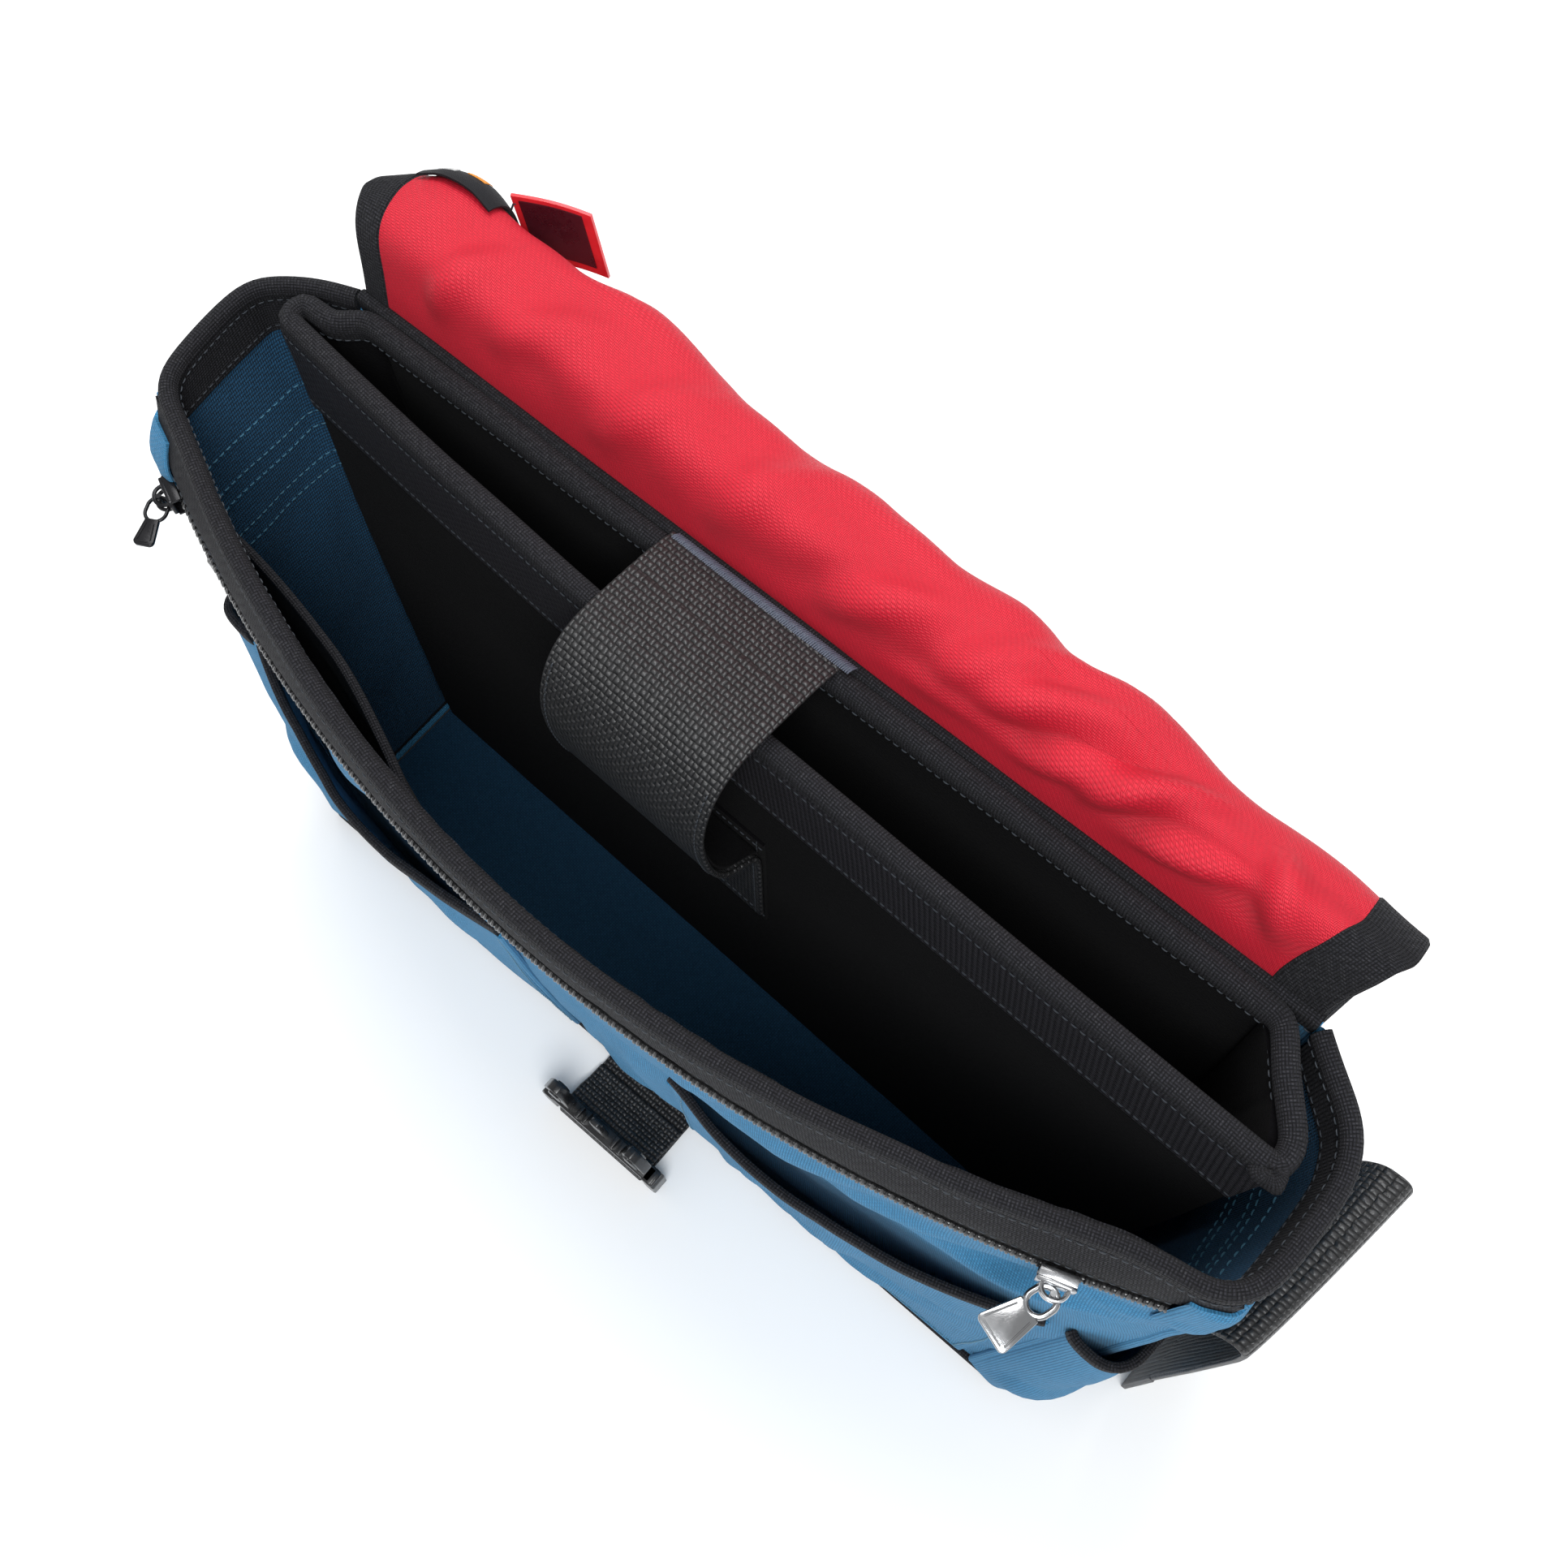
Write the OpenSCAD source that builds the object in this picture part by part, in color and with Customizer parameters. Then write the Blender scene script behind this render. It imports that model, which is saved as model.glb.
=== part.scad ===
// Messenger bag with a padded laptop sleeve, shown open with its lined flap thrown back.
// Frame: X left to right as seen from the front, Y front to back, Z up.
// Origin: centre of the base's underside.

/* [Body] */
// Length of the base, left to right
base_len = 408; // [360:2:490]
// Depth of the base, front to back
base_depth = 115; // [96:1:140]
// Height of the bag's rim
body_h = 286; // [238:2:344]
// How far each front corner of the mouth stands outside the base's end
mouth_flare = 30; // [16:1:40]
// How far the front corners of the mouth stand behind the base's front edge
corner_set_back = 37; // [20:1:50]
// How far the front rim bows forward of its corners
front_bow = 55; // [35:1:70]
// How far the end rims swell beyond the mouth's front corners
end_swell = 12; // [4:1:20]
// Thickness of one fabric panel
fabric_t = 1.5; // [1:0.1:2.5]
// Gap between the two layers of a closed flat pocket
layer_gap = 2; // [1:0.5:4]
// Height of the tape folded round the rim
binding_h = 8; // [6:0.5:12]
// Width of the tape folded round the rim
binding_w = 7; // [5:0.5:10]

/* [Base] */
// Thickness of the outer base fabric
base_t = 2; // [1.5:0.1:3]
// Thickness of the stiffening board in the base
board_t = 2; // [1:0.1:3]
// Thickness of the inner base lining
lining_t = 1; // [0.6:0.1:1.5]

/* [Laptop sleeve] */
// How far each end of the divider's top stands outside the base's end
divider_flare = 16; // [0:1:20]
// How far each end of the divider's foot stands inside the base's end
divider_inset = 8; // [6:1:20]
// Place of the middle of the divider's foot, front to back
divider_foot_y = 6; // [0:1:10]
// Place of the middle of the divider's top, front to back
divider_top_y = 20; // [12:1:24]
// How much further back the divider's left top corner is than its right one
divider_skew = 14; // [0:1:16]
// How far the sleeve's top edge, under its binding, is below the rim
sleeve_drop = 2; // [0:1:12]
// Thickness of the sleeve's foam
foam_t = 4; // [3:0.5:6]
// Thickness of the sleeve's facing cloth
skin_t = 1; // [0.6:0.1:1.5]
// Height of the woven band along the top of the divider
band_h = 38; // [20:1:60]

/* [Retention strap] */
// Width of the hook-and-loop strap
grip_w = 75; // [50:1:80]
// Place of the strap's middle, left to right
grip_x = -18; // [-40:1:40]
// Thickness of the strap
grip_t = 2; // [1.5:0.1:3]

/* [Front zip] */
// How far the zip is below the rim
zip_drop = 31; // [24:1:60]
// Height of the zip's window in the front panel
zip_window = 18; // [14:1:24]
// Radius of the zip's coil
coil_r = 2; // [1.5:0.1:2.6]
// Angle of the right slider along the front arc
slider_right_deg = 19.4; // [16:0.1:21]
// Angle of the left slider along the front arc
slider_left_deg = -22.6; // [-23:0.1:-22]
// Width of the metal pull tab
tab_w = 12; // [9:0.5:14]
// Length of the metal pull tab
tab_len = 19; // [14:0.5:24]

/* [Pockets] */
// How far the top edges of the two front patch pockets are below the rim
patch_drop = 118; // [96:1:160]
// How far a patch pocket gapes at the middle of its top edge
patch_gape = 9; // [5:0.5:12]
// How far the top edges of the pockets on the ends are below the rim
end_pocket_drop = 136; // [106:1:180]
// How far an end pocket gapes at the middle of its top edge
end_gape = 9; // [5:0.5:12]

/* [Flap] */
// How far each side of the flap stands outside the base's end
flap_overhang = 8; // [0:1:16]
// Length of the part of the flap that rises from the back rim
riser_len = 30; // [26:1:36]
// Length of the part of the flap over its roll
crown_len = 34; // [30:1:44]
// How far in front of the rim the closed flap hangs down
flap_stand_off = 22.7; // [18:0.1:30]
// Height of the open flap's free end above the floor
flap_foot = 33.8; // [20:0.1:80]
// Width of the tape round the flap's edge
edge_w = 9; // [6:0.5:14]

/* [Straps] */
// Width of the shoulder strap
strap_w = 75; // [50:1:80]
// Thickness of the shoulder strap
strap_t = 2.5; // [2:0.1:3]
// How far the shoulder strap's crease is below the rim
crease_drop = 40; // [30:1:80]
// How far the shoulder strap stands out from the mouth's front corner
strap_stand = 13; // [12:1:30]
// Length of one fold of the stowed shoulder strap
stow_len = 120; // [60:2:200]
// Width of the front closing strap
front_strap_w = 50; // [38:1:50]
// Place of the front closing strap, left to right
buckle_x = 5; // [-20:1:20]
// Reach of the front closing strap in front of the base
front_strap_reach = 34; // [30:1:50]
// Thickness of the front closing strap
web_t = 1.6; // [1.2:0.1:2]

/* [Hidden] */
$fn = 48;

blue = "#2f6ea6";
black = "#1d1d20";
red = "#e0303f";
metal = "#b9bcc2";

clear = 0.4;
hair = 0.2;
half_base = base_len / 2;
half_depth = base_depth / 2;
base_top = base_t + board_t + lining_t;
wall_top = body_h - binding_h / 2;
sleeve_h = body_h - sleeve_drop;
zip_z = body_h - zip_drop;
patch_h = body_h - patch_drop;
end_pocket_h = body_h - end_pocket_drop;
divider_top_len = base_len + 2 * divider_flare;
divider_foot_len = base_len - 2 * divider_inset;
cols = 16;
end_cols = 12;
rows_up = 4;

// The front rim is an arc between the mouth's corners.
half_mouth = half_base + mouth_flare;
rim_r = (half_mouth * half_mouth + front_bow * front_bow) / (2 * front_bow);
arc_half = asin(half_mouth / rim_r);
corner_y = corner_set_back - half_depth;
rim_cy = corner_y - front_bow + rim_r;

function lerp(a, b, t) = a + (b - a) * t;
function unit(v) = v / norm(v);
function reverse(list) = [for (i = [len(list) - 1:-1:0]) list[i]];
function mirrored(list) = [for (p = list) [-p.x, p.y]];

// Front wall: straight at the base, an arc at the rim, straight lines between.
function front_a(v) = lerp(half_base / sin(arc_half), rim_r, v);
function front_b(v) = v * rim_r;
function front_at(s, z, off) =
    let (v = z / body_h, a = s * arc_half)
    let (n = unit([front_b(v) * sin(a), -front_a(v) * cos(a)]))
    let (x = front_a(v) * sin(a), y = lerp(-half_depth, rim_cy - rim_r * cos(a), v))
    [x + off * n.x, y + off * n.y, z];

// End wall: straight at the base, a Bezier curve at the rim, straight lines between.
front_handle = 28;
back_handle = 8;
function end_rim(t) =
    let (far_x = half_mouth + end_swell)
    let (p = [[half_mouth, corner_y], [far_x, corner_y + front_handle],
              [far_x, half_depth - back_handle], [half_base, half_depth]])
    pow(1 - t, 3) * p[0] + 3 * t * pow(1 - t, 2) * p[1] + 3 * t * t * (1 - t) * p[2]
    + pow(t, 3) * p[3];
function end_mid(t, v) = lerp([half_base, lerp(-half_depth, half_depth, t)], end_rim(t), v);
function end_at(t, z, off) =
    let (v = z / body_h, d = unit(end_mid(t + 0.01, v) - end_mid(t - 0.01, v)))
    let (p = end_mid(t, v))
    [p.x + off * d.y, p.y - off * d.x, z];

// A closed skin between two grids of points, each a list of rows from low to high.
module skin(outer, inner) {
    rows = len(outer);
    across = len(outer[0]);
    n = rows * across;
    rim = concat([for (j = [0:across - 1]) j],
                 [for (i = [1:rows - 1]) i * across + across - 1],
                 [for (j = [across - 2:-1:0]) (rows - 1) * across + j],
                 [for (i = [rows - 2:-1:1]) i * across]);
    cells = [for (i = [0:rows - 2], j = [0:across - 2]) i * across + j];
    faces = concat(
        [for (a = cells) each [[a, a + across, a + across + 1], [a, a + across + 1, a + 1]]],
        [for (a = cells) each [[a + n, a + n + 1, a + n + across + 1],
                               [a + n, a + n + across + 1, a + n + across]]],
        [for (k = [0:len(rim) - 1])
            let (p = rim[k], q = rim[(k + 1) % len(rim)])
            each [[p, q, q + n], [p, q + n, p + n]]]);
    polyhedron(concat([for (r = outer) each r], [for (r = inner) each r]), faces);
}

// A layer on the front wall, from s0 to s1 across and z0 to z1 up, gaping at its top middle.
module front_layer(s0, s1, z0, z1, near, far, gape = 0, across = cols, up = rows_up) {
    skin([for (i = [0:up]) [for (j = [0:across])
             front_at(lerp(s0, s1, j / across), lerp(z0, z1, i / up),
                      far + gape * sin(180 * j / across) * pow(i / up, 1.5))]],
         [for (i = [0:up]) [for (j = [0:across])
             front_at(lerp(s0, s1, j / across), lerp(z0, z1, i / up),
                      near + gape * sin(180 * j / across) * pow(i / up, 1.5))]]);
}

// The same on the right end wall, from t0 at its front to t1 at its back.
module end_layer(t0, t1, z0, z1, near, far, gape = 0, across = end_cols, up = rows_up) {
    skin([for (i = [0:up]) [for (j = [0:across])
             end_at(lerp(t0, t1, j / across), lerp(z0, z1, i / up),
                    far + gape * sin(180 * j / across) * pow(i / up, 1.5))]],
         [for (i = [0:up]) [for (j = [0:across])
             end_at(lerp(t0, t1, j / across), lerp(z0, z1, i / up),
                    near + gape * sin(180 * j / across) * pow(i / up, 1.5))]]);
}

// One side of a band of width w round an open run of plan points, with mitred corners.
function side(pts, w) = [for (i = [0:len(pts) - 1])
    let (back = unit(i == 0 ? pts[1] - pts[0] : pts[i] - pts[i - 1]))
    let (on = unit(i == len(pts) - 1 ? pts[i] - pts[i - 1] : pts[i + 1] - pts[i]))
    let (n = [-back.y, back.x], m = [-on.y, on.x])
    pts[i] + w * (n + m) / (1 + n * m)];

module band(pts, w) {
    polygon(concat(side(pts, w / 2), reverse(side(pts, -w / 2))));
}

// A shape drawn in the YZ plane and given a width along X.
module along_x(x, width) {
    translate([x - width / 2, 0, 0]) rotate([90, 0, 90]) linear_extrude(width) children();
}

// A flat board between a foot line and a top line, with a thickness along a plan direction.
module board(foot_a, foot_b, top_a, top_b, z0, z1, thick) {
    skin([[[foot_a.x, foot_a.y, z0], [foot_b.x, foot_b.y, z0]],
          [[top_a.x, top_a.y, z1], [top_b.x, top_b.y, z1]]],
         [[[foot_a.x + thick.x, foot_a.y + thick.y, z0],
           [foot_b.x + thick.x, foot_b.y + thick.y, z0]],
          [[top_a.x + thick.x, top_a.y + thick.y, z1],
           [top_b.x + thick.x, top_b.y + thick.y, z1]]]);
}

module box(x, y, z) {
    translate([x[0], y[0], z[0]]) cube([x[1] - x[0], y[1] - y[0], z[1] - z[0]]);
}

// ---- base -------------------------------------------------------------------

module base_plan(grow) {
    polygon([[-half_base - grow, -half_depth - grow], [half_base + grow, -half_depth - grow],
             [half_base + grow, half_depth + grow], [-half_base - grow, half_depth + grow]]);
}
module base_panel() {
    color(blue) linear_extrude(base_t) base_plan(fabric_t);
}
module base_board() {
    color(black) translate([0, 0, base_t]) linear_extrude(board_t) base_plan(-inner_off - 1);
}
module base_lining() {
    color(blue) translate([0, 0, base_t + board_t]) linear_extrude(lining_t)
        base_plan(-inner_off - 1);
}

// ---- outer walls --------------------------------------------------------------

inner_off = fabric_t + layer_gap;
window_low = zip_z - zip_window / 2;
window_high = zip_z + zip_window / 2;

// The two long walls are drawn in halves that meet at the middle.
module front_panel_lower_left() {
    color(blue) front_layer(-1, 0, base_t, window_low, 0, fabric_t, 0, cols / 2);
}
module front_panel_lower_right() {
    color(blue) front_layer(0, 1, base_t, window_low, 0, fabric_t, 0, cols / 2);
}
module front_panel_upper() {
    color(blue) front_layer(-1, 1, window_high, wall_top, 0, fabric_t);
}
module front_inner_wall_left() {
    color(blue) front_layer(-0.98, 0, base_t, wall_top, -inner_off, -layer_gap, 0, cols / 2);
}
module front_inner_wall_right() {
    color(blue) front_layer(0, 0.98, base_t, wall_top, -inner_off, -layer_gap, 0, cols / 2);
}
module end_panel_right() {
    color(blue) end_layer(0, 1, base_t, wall_top, 0, fabric_t);
}
module end_panel_left() {
    mirror([1, 0, 0]) end_panel_right();
}
module back_panel() {
    color(blue) box([-half_base, half_base], [half_depth, half_depth + fabric_t],
                    [base_t, wall_top + binding_h]);
}

// The rim's tape runs from the back left corner round the front to the back right corner.
rim_off = (fabric_t - inner_off) / 2;
rim_t = [0.96:-0.12:0.12];
rim_s = 0.985;
rim_end = [for (t = rim_t) let (p = end_at(t, body_h, fabric_t / 2)) [p.x, p.y]];
rim_front = [for (j = [0:cols])
    let (p = front_at(lerp(rim_s, -rim_s, j / cols), body_h, rim_off)) [p.x, p.y]];
rim_path = concat(rim_end, rim_front, reverse(mirrored(rim_end)));

module rim_binding() {
    color(black) translate([0, 0, wall_top]) linear_extrude(binding_h)
        band(rim_path, binding_w);
}

// ---- outside pockets ------------------------------------------------------------

patch_off = fabric_t + 1;
patch_foot = 12;
patch_inner = 0.19;
patch_outer = 0.88;
pocket_t = fabric_t;
trim_h = 10;

module patch_layer(sign, z0, z1, lift, thick) {
    s0 = sign > 0 ? patch_inner : -patch_outer;
    s1 = sign > 0 ? patch_outer : -patch_inner;
    front_layer(s0, s1, z0, z1, patch_off + lift, patch_off + lift + thick,
                patch_gape, 8, rows_up);
}
module patch_pocket_left() {
    color(blue) patch_layer(-1, patch_foot, patch_h, 0, pocket_t);
}
module patch_pocket_right() {
    color(blue) patch_layer(1, patch_foot, patch_h, 0, pocket_t);
}

// A pocket's binding sits on its top edge.
module patch_trim(sign) {
    s0 = sign > 0 ? patch_inner : -patch_outer;
    s1 = sign > 0 ? patch_outer : -patch_inner;
    path = [for (j = [0:8])
        let (p = front_at(lerp(s0, s1, j / 8), patch_h,
                          patch_off + pocket_t / 2 + patch_gape * sin(180 * j / 8)))
        [p.x, p.y]];
    translate([0, 0, patch_h]) linear_extrude(trim_h) band(path, pocket_t + 1);
}
module patch_binding_left() {
    color(black) patch_trim(-1);
}
module patch_binding_right() {
    color(black) patch_trim(1);
}

end_t0 = 0.04;
end_t1 = 0.9;
module end_pocket_right() {
    color(blue) end_layer(end_t0, end_t1, patch_foot, end_pocket_h, patch_off,
                          patch_off + pocket_t, end_gape, 8, rows_up);
}
module end_pocket_left() {
    mirror([1, 0, 0]) end_pocket_right();
}
module end_trim_right() {
    path = [for (j = [0:8])
        let (p = end_at(lerp(end_t0, end_t1, j / 8), end_pocket_h,
                        patch_off + pocket_t / 2 + hair + end_gape * sin(180 * j / 8)))
        [p.x, p.y]];
    color(black) translate([0, 0, end_pocket_h]) linear_extrude(trim_h)
        band(path, pocket_t + 1);
}
module end_trim_left() {
    mirror([1, 0, 0]) end_trim_right();
}

// ---- inside the main compartment ---------------------------------------------------

organiser_off = -inner_off - fabric_t - 1;
organiser_gape = -11;
organiser_s = [-0.93, -0.3];
organiser_z = [70, body_h - 50];

module organiser_pocket() {
    color(black) front_layer(organiser_s[0], organiser_s[1], organiser_z[0], organiser_z[1],
                             organiser_off, organiser_off + fabric_t, organiser_gape, 8);
}
module organiser_binding() {
    path = [for (j = [0:8])
        let (p = front_at(lerp(organiser_s[0], organiser_s[1], j / 8), organiser_z[1],
                          organiser_off + fabric_t / 2 + organiser_gape * sin(180 * j / 8)))
        [p.x, p.y]];
    color(black) translate([0, 0, organiser_z[1]]) linear_extrude(trim_h)
        band(path, fabric_t + 1);
}

// Laptop sleeve: a padded divider, a padded back and two soft gussets between them.
sleeve_t = foam_t + 2 * skin_t;
pad_y = half_depth - sleeve_t;
slope = divider_skew / divider_top_len;
function on_divider(x, y) = [x, y - slope * x];
foot_l = on_divider(-divider_foot_len / 2, divider_foot_y);
foot_r = on_divider(divider_foot_len / 2, divider_foot_y);
top_l = on_divider(-divider_top_len / 2, divider_top_y);
top_r = on_divider(divider_top_len / 2, divider_top_y);

module divider_layer(from, thick, z1 = sleeve_h) {
    shift = [0, from];
    t = (z1 - base_top) / (sleeve_h - base_top);
    board(foot_l + shift, foot_r + shift, lerp(foot_l, top_l, t) + shift,
          lerp(foot_r, top_r, t) + shift, base_top, z1, [0, thick]);
}
module divider_front_skin() {
    color(black) divider_layer(0, skin_t);
}
module divider_foam() {
    color(black) divider_layer(skin_t, foam_t);
}
module divider_back_skin() {
    color(black) divider_layer(skin_t + foam_t, skin_t);
}

// The woven band lies on the divider's front, under its top edge.
module divider_band() {
    low = (sleeve_h - band_h - base_top) / (sleeve_h - base_top);
    face = [0, -skin_t];
    color(black)
        board(lerp(foot_l, top_l, low) + face, lerp(foot_r, top_r, low) + face,
              top_l + face, top_r + face, sleeve_h - band_h, sleeve_h, [0, skin_t]);
}

pad_half = half_base - divider_inset;
module sleeve_back_skin() {
    color(black) box([-pad_half, pad_half], [pad_y, pad_y + skin_t], [base_top, sleeve_h]);
}
module sleeve_back_foam() {
    color(black) box([-pad_half, pad_half], [pad_y + skin_t, half_depth],
                     [base_top, sleeve_h]);
}
// The gusset's front edge meets the divider's back, just inside the divider's end.
function gusset_front(sign, corner, y) =
    let (x = corner.x - sign * foam_t)
    [x, on_divider(x - foam_t, y).y + sleeve_t];
module gusset(sign) {
    foot_front = gusset_front(sign, sign > 0 ? foot_r : foot_l, divider_foot_y);
    top_front = gusset_front(sign, sign > 0 ? top_r : top_l, divider_top_y);
    foot_back = [sign * (pad_half - foam_t), pad_y];
    if (sign > 0)
        board(foot_front, foot_back, top_front, foot_back, base_top, sleeve_h, [-foam_t, 0]);
    else
        board(foot_back, foot_front, foot_back, top_front, base_top, sleeve_h, [foam_t, 0]);
}
module sleeve_gusset_left() {
    color(black) gusset(-1);
}
module sleeve_gusset_right() {
    color(black) gusset(1);
}
floor_inset = 14;
module sleeve_floor_pad() {
    color(black) box([-divider_foot_len / 2 + floor_inset, divider_foot_len / 2 - floor_inset],
                     [foot_l.y + sleeve_t + 1, pad_y], [base_top, base_top + foam_t]);
}

// One tape goes round the sleeve's mouth: divider, gussets and back.
module sleeve_binding() {
    over = 0.5;
    outer = [[top_l.x - over, top_l.y - skin_t - over], [top_r.x + over, top_r.y - skin_t - over],
             [top_r.x + over, top_r.y + sleeve_t], [pad_half + over, half_depth - hair],
             [-pad_half - over, half_depth - hair], [top_l.x - over, top_l.y + sleeve_t]];
    inner = [[top_l.x + 2 * foam_t, top_l.y + sleeve_t + over],
             [top_r.x - 2 * foam_t, top_r.y + sleeve_t + over],
             [pad_half - 2 * foam_t, pad_y - over], [-pad_half + 2 * foam_t, pad_y - over]];
    color(black) translate([0, 0, sleeve_h]) linear_extrude(binding_h) difference() {
        polygon(outer);
        polygon(inner);
    }
}

// ---- retention strap -----------------------------------------------------------

// The strap is square to the divider, so it is drawn in a plane turned with the divider.
function divider_face(z) =
    let (t = (z - base_top) / (sleeve_h - base_top))
    on_divider(grip_x, lerp(divider_foot_y, divider_top_y, t)).y * cos(atan(slope));
module along_divider(width) {
    translate([grip_x, 0, 0]) rotate([0, 0, -atan(slope)]) along_x(0, width) children();
}
patch_z = [sleeve_h - 162, sleeve_h - 78];
patch_t = 1.2;
land_z = [sleeve_h - 150, sleeve_h - 94, sleeve_h - 80];
grip_pivot = [half_depth - sleeve_t / 2, sleeve_h + binding_h + 2.5];
grip_knee = [divider_face(sleeve_h) - 18, grip_pivot.y + 1];
fold_gap = 2.2;

module loop_patch() {
    color(black) along_divider(grip_w)
        polygon([[divider_face(patch_z[0]) - patch_t, patch_z[0]],
                 [divider_face(patch_z[1]) - patch_t, patch_z[1]],
                 [divider_face(patch_z[1]), patch_z[1]],
                 [divider_face(patch_z[0]), patch_z[0]]]);
}
module grip_strap_root() {
    run = unit(grip_knee - grip_pivot);
    color(black) along_divider(grip_w)
        band([grip_pivot + fold_gap * run, grip_knee - fold_gap * run], grip_t);
}
// The strap bulges forward of the divider and comes back to the loop patch.
module grip_strap_end() {
    land = patch_t + clear + grip_t / 2;
    path = [grip_knee + [-2, -1.5], grip_knee + [-14, -12], grip_knee + [-20, -34],
            grip_knee + [-15, -68], [divider_face(land_z[2]) - land - 4, land_z[2]],
            [divider_face(land_z[1]) - land, land_z[1]],
            [divider_face(land_z[0]) - land, land_z[0]]];
    color(black) along_divider(grip_w) band(path, grip_t);
}

// ---- zip -----------------------------------------------------------------------

// The zip's own arc, whose centre is also the axis that its sliders travel about.
zip_v = zip_z / body_h;
zip_chord = front_a(zip_v) * sin(arc_half);
zip_bow = front_b(zip_v) * (1 - cos(arc_half));
zip_r = (zip_chord * zip_chord + zip_bow * zip_bow) / (2 * zip_bow);
zip_cy = lerp(-half_depth, rim_cy - rim_r, zip_v) + zip_r;
tape_t = 0.8;
coil_off = tape_t + coil_r;
zip_span = asin(zip_chord / zip_r) - 1.2;

module on_zip(angle) {
    translate([0, zip_cy, zip_z]) rotate([0, 0, angle]) translate([0, -zip_r, 0]) children();
}
module zip_arc(angle) {
    translate([0, zip_cy, zip_z]) rotate([0, 0, -90 - angle])
        rotate_extrude(angle = 2 * angle, $fn = 240) children();
}
module zip_tape() {
    color(black) for (side = [-1, 1])
        zip_arc(zip_span) translate([zip_r + tape_t / 2, side * (zip_window / 4 + 0.1)])
            square([tape_t, zip_window / 2 - 0.2], center = true);
}
module zip_coil() {
    color(black) zip_arc(zip_span) translate([zip_r + coil_off + hair / 4, 0])
        circle(r = coil_r, $fn = 24);
}

// Slider: a plate over the coil, two flanges and a bail with a round bore for the pull.
slider_len = 13;
slider_h = 2 * coil_r + 5;
flange_t = 1;
bail_t = 1.4;
bail_low = -3;
slider_off = coil_off + coil_r + clear;
plate_t = 1.8;
bail_r = 2.6;
bail_bore = 1.3;
bail_out = slider_off + plate_t + bail_r - 0.4;
pin_r = bail_bore - 0.06;
pin_len = 6.4;

module slider_shape() {
    difference() {
        union() {
            translate([-slider_len / 2, -slider_off - plate_t, -slider_h / 2])
                cube([slider_len, plate_t, slider_h]);
            for (side = [-1, 1])
                translate([-slider_len / 2, -slider_off,
                           side > 0 ? slider_h / 2 - flange_t : -slider_h / 2])
                    cube([slider_len, slider_off - tape_t - clear, flange_t]);
            for (side = [-1, 1])
                translate([0, -bail_out, side > 0 ? -bail_low - bail_t : bail_low])
                    cylinder(r = bail_r, h = bail_t);
        }
        translate([0, -bail_out, -slider_h / 2]) cylinder(r = bail_bore, h = slider_h);
    }
}

// Pull: a pin through the bail, a flat ring and a tab that widens to its end.
ring_t = 1.4;
ring_out = 7.5;
ring_w = 1.5;
hub_r = 2.2;
neck = 1.2;
right_rest_deg = -38;
left_rest_deg = 50;
left_scale = 0.65;
module pull_shape(length, width, deg) {
    translate([0, 0, -pin_len / 2]) cylinder(r = pin_r, h = pin_len);
    rotate([0, 0, deg]) translate([0, 0, -ring_t / 2]) {
        cylinder(r = hub_r, h = ring_t);
        translate([-0.9, -hub_r - neck - 0.4, 0]) cube([1.8, neck + 1.4, ring_t]);
        translate([0, -hub_r - neck - ring_out / 2, 0]) linear_extrude(ring_t)
            difference() {
                circle(d = ring_out);
                circle(d = ring_out - 2 * ring_w);
            }
        translate([0, -hub_r - ring_out, 0]) linear_extrude(ring_t)
            polygon([[-width * 0.3, 0], [width * 0.3, 0], [width / 2, -length],
                     [-width / 2, -length]]);
    }
}
module slider_right() {
    color(metal) on_zip(slider_right_deg) slider_shape();
}
module pull_right() {
    color(metal) on_zip(slider_right_deg) translate([0, -bail_out, 0])
        pull_shape(tab_len, tab_w, right_rest_deg);
}
module slider_left() {
    color(black) on_zip(slider_left_deg) slider_shape();
}
module pull_left() {
    color(black) on_zip(slider_left_deg) translate([0, -bail_out, 0])
        pull_shape(left_scale * tab_len, left_scale * tab_w, left_rest_deg);
}

// ---- flap ------------------------------------------------------------------------

// Profile of the open flap in the YZ plane: the direction and length of each part.
riser_deg = 72;
crown_deg = -5;
top_deg = -86;
drop_deg = -90;
function step(from, deg, length) = from + length * [cos(deg), sin(deg)];
flap_root = [half_depth + fabric_t + 2, wall_top + binding_h + 3];
flap_crease = step(flap_root, riser_deg, riser_len);
flap_back = step(flap_crease, crown_deg, crown_len);
flap_w = base_len + 2 * flap_overhang;

// The part over the mouth is as long as the closed flap needs to clear the front rim.
closed_riser_deg = 150;
closed_crown_deg = 183;
closed_top_deg = 187;
closed_back = step(step(flap_root, closed_riser_deg, riser_len), closed_crown_deg, crown_len);
top_len = (closed_back.x - corner_y + front_bow + flap_stand_off) / -cos(closed_top_deg);
flap_knee = step(flap_back, top_deg, top_len);
drop_len = flap_knee.y - flap_foot;
cloth_t = 1.2;
cloth_gap = 0.3;

module flap_part(from, deg, length, low, high, x0, x1) {
    translate([0, from.x, from.y]) rotate([deg, 0, 0])
        box([x0, x1], [fold_gap, length - fold_gap], [low, high]);
}
module flap_shell(from, deg, length, inset = 0) {
    half = flap_w / 2 - inset;
    color(blue)
        flap_part(from, deg, length - inset, -cloth_gap - cloth_t, -cloth_gap, -half, half);
}
module flap_lining(from, deg, length, inset = 0) {
    half = flap_w / 2 - inset;
    color(red)
        flap_part(from, deg, length - inset, cloth_gap, cloth_gap + cloth_t, -half, half);
}
module flap_riser_shell() {
    flap_shell(flap_root, riser_deg, riser_len);
}
module flap_riser_lining() {
    flap_lining(flap_root, riser_deg, riser_len);
}
module flap_crown_shell() {
    flap_shell(flap_crease, crown_deg, crown_len);
}
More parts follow.
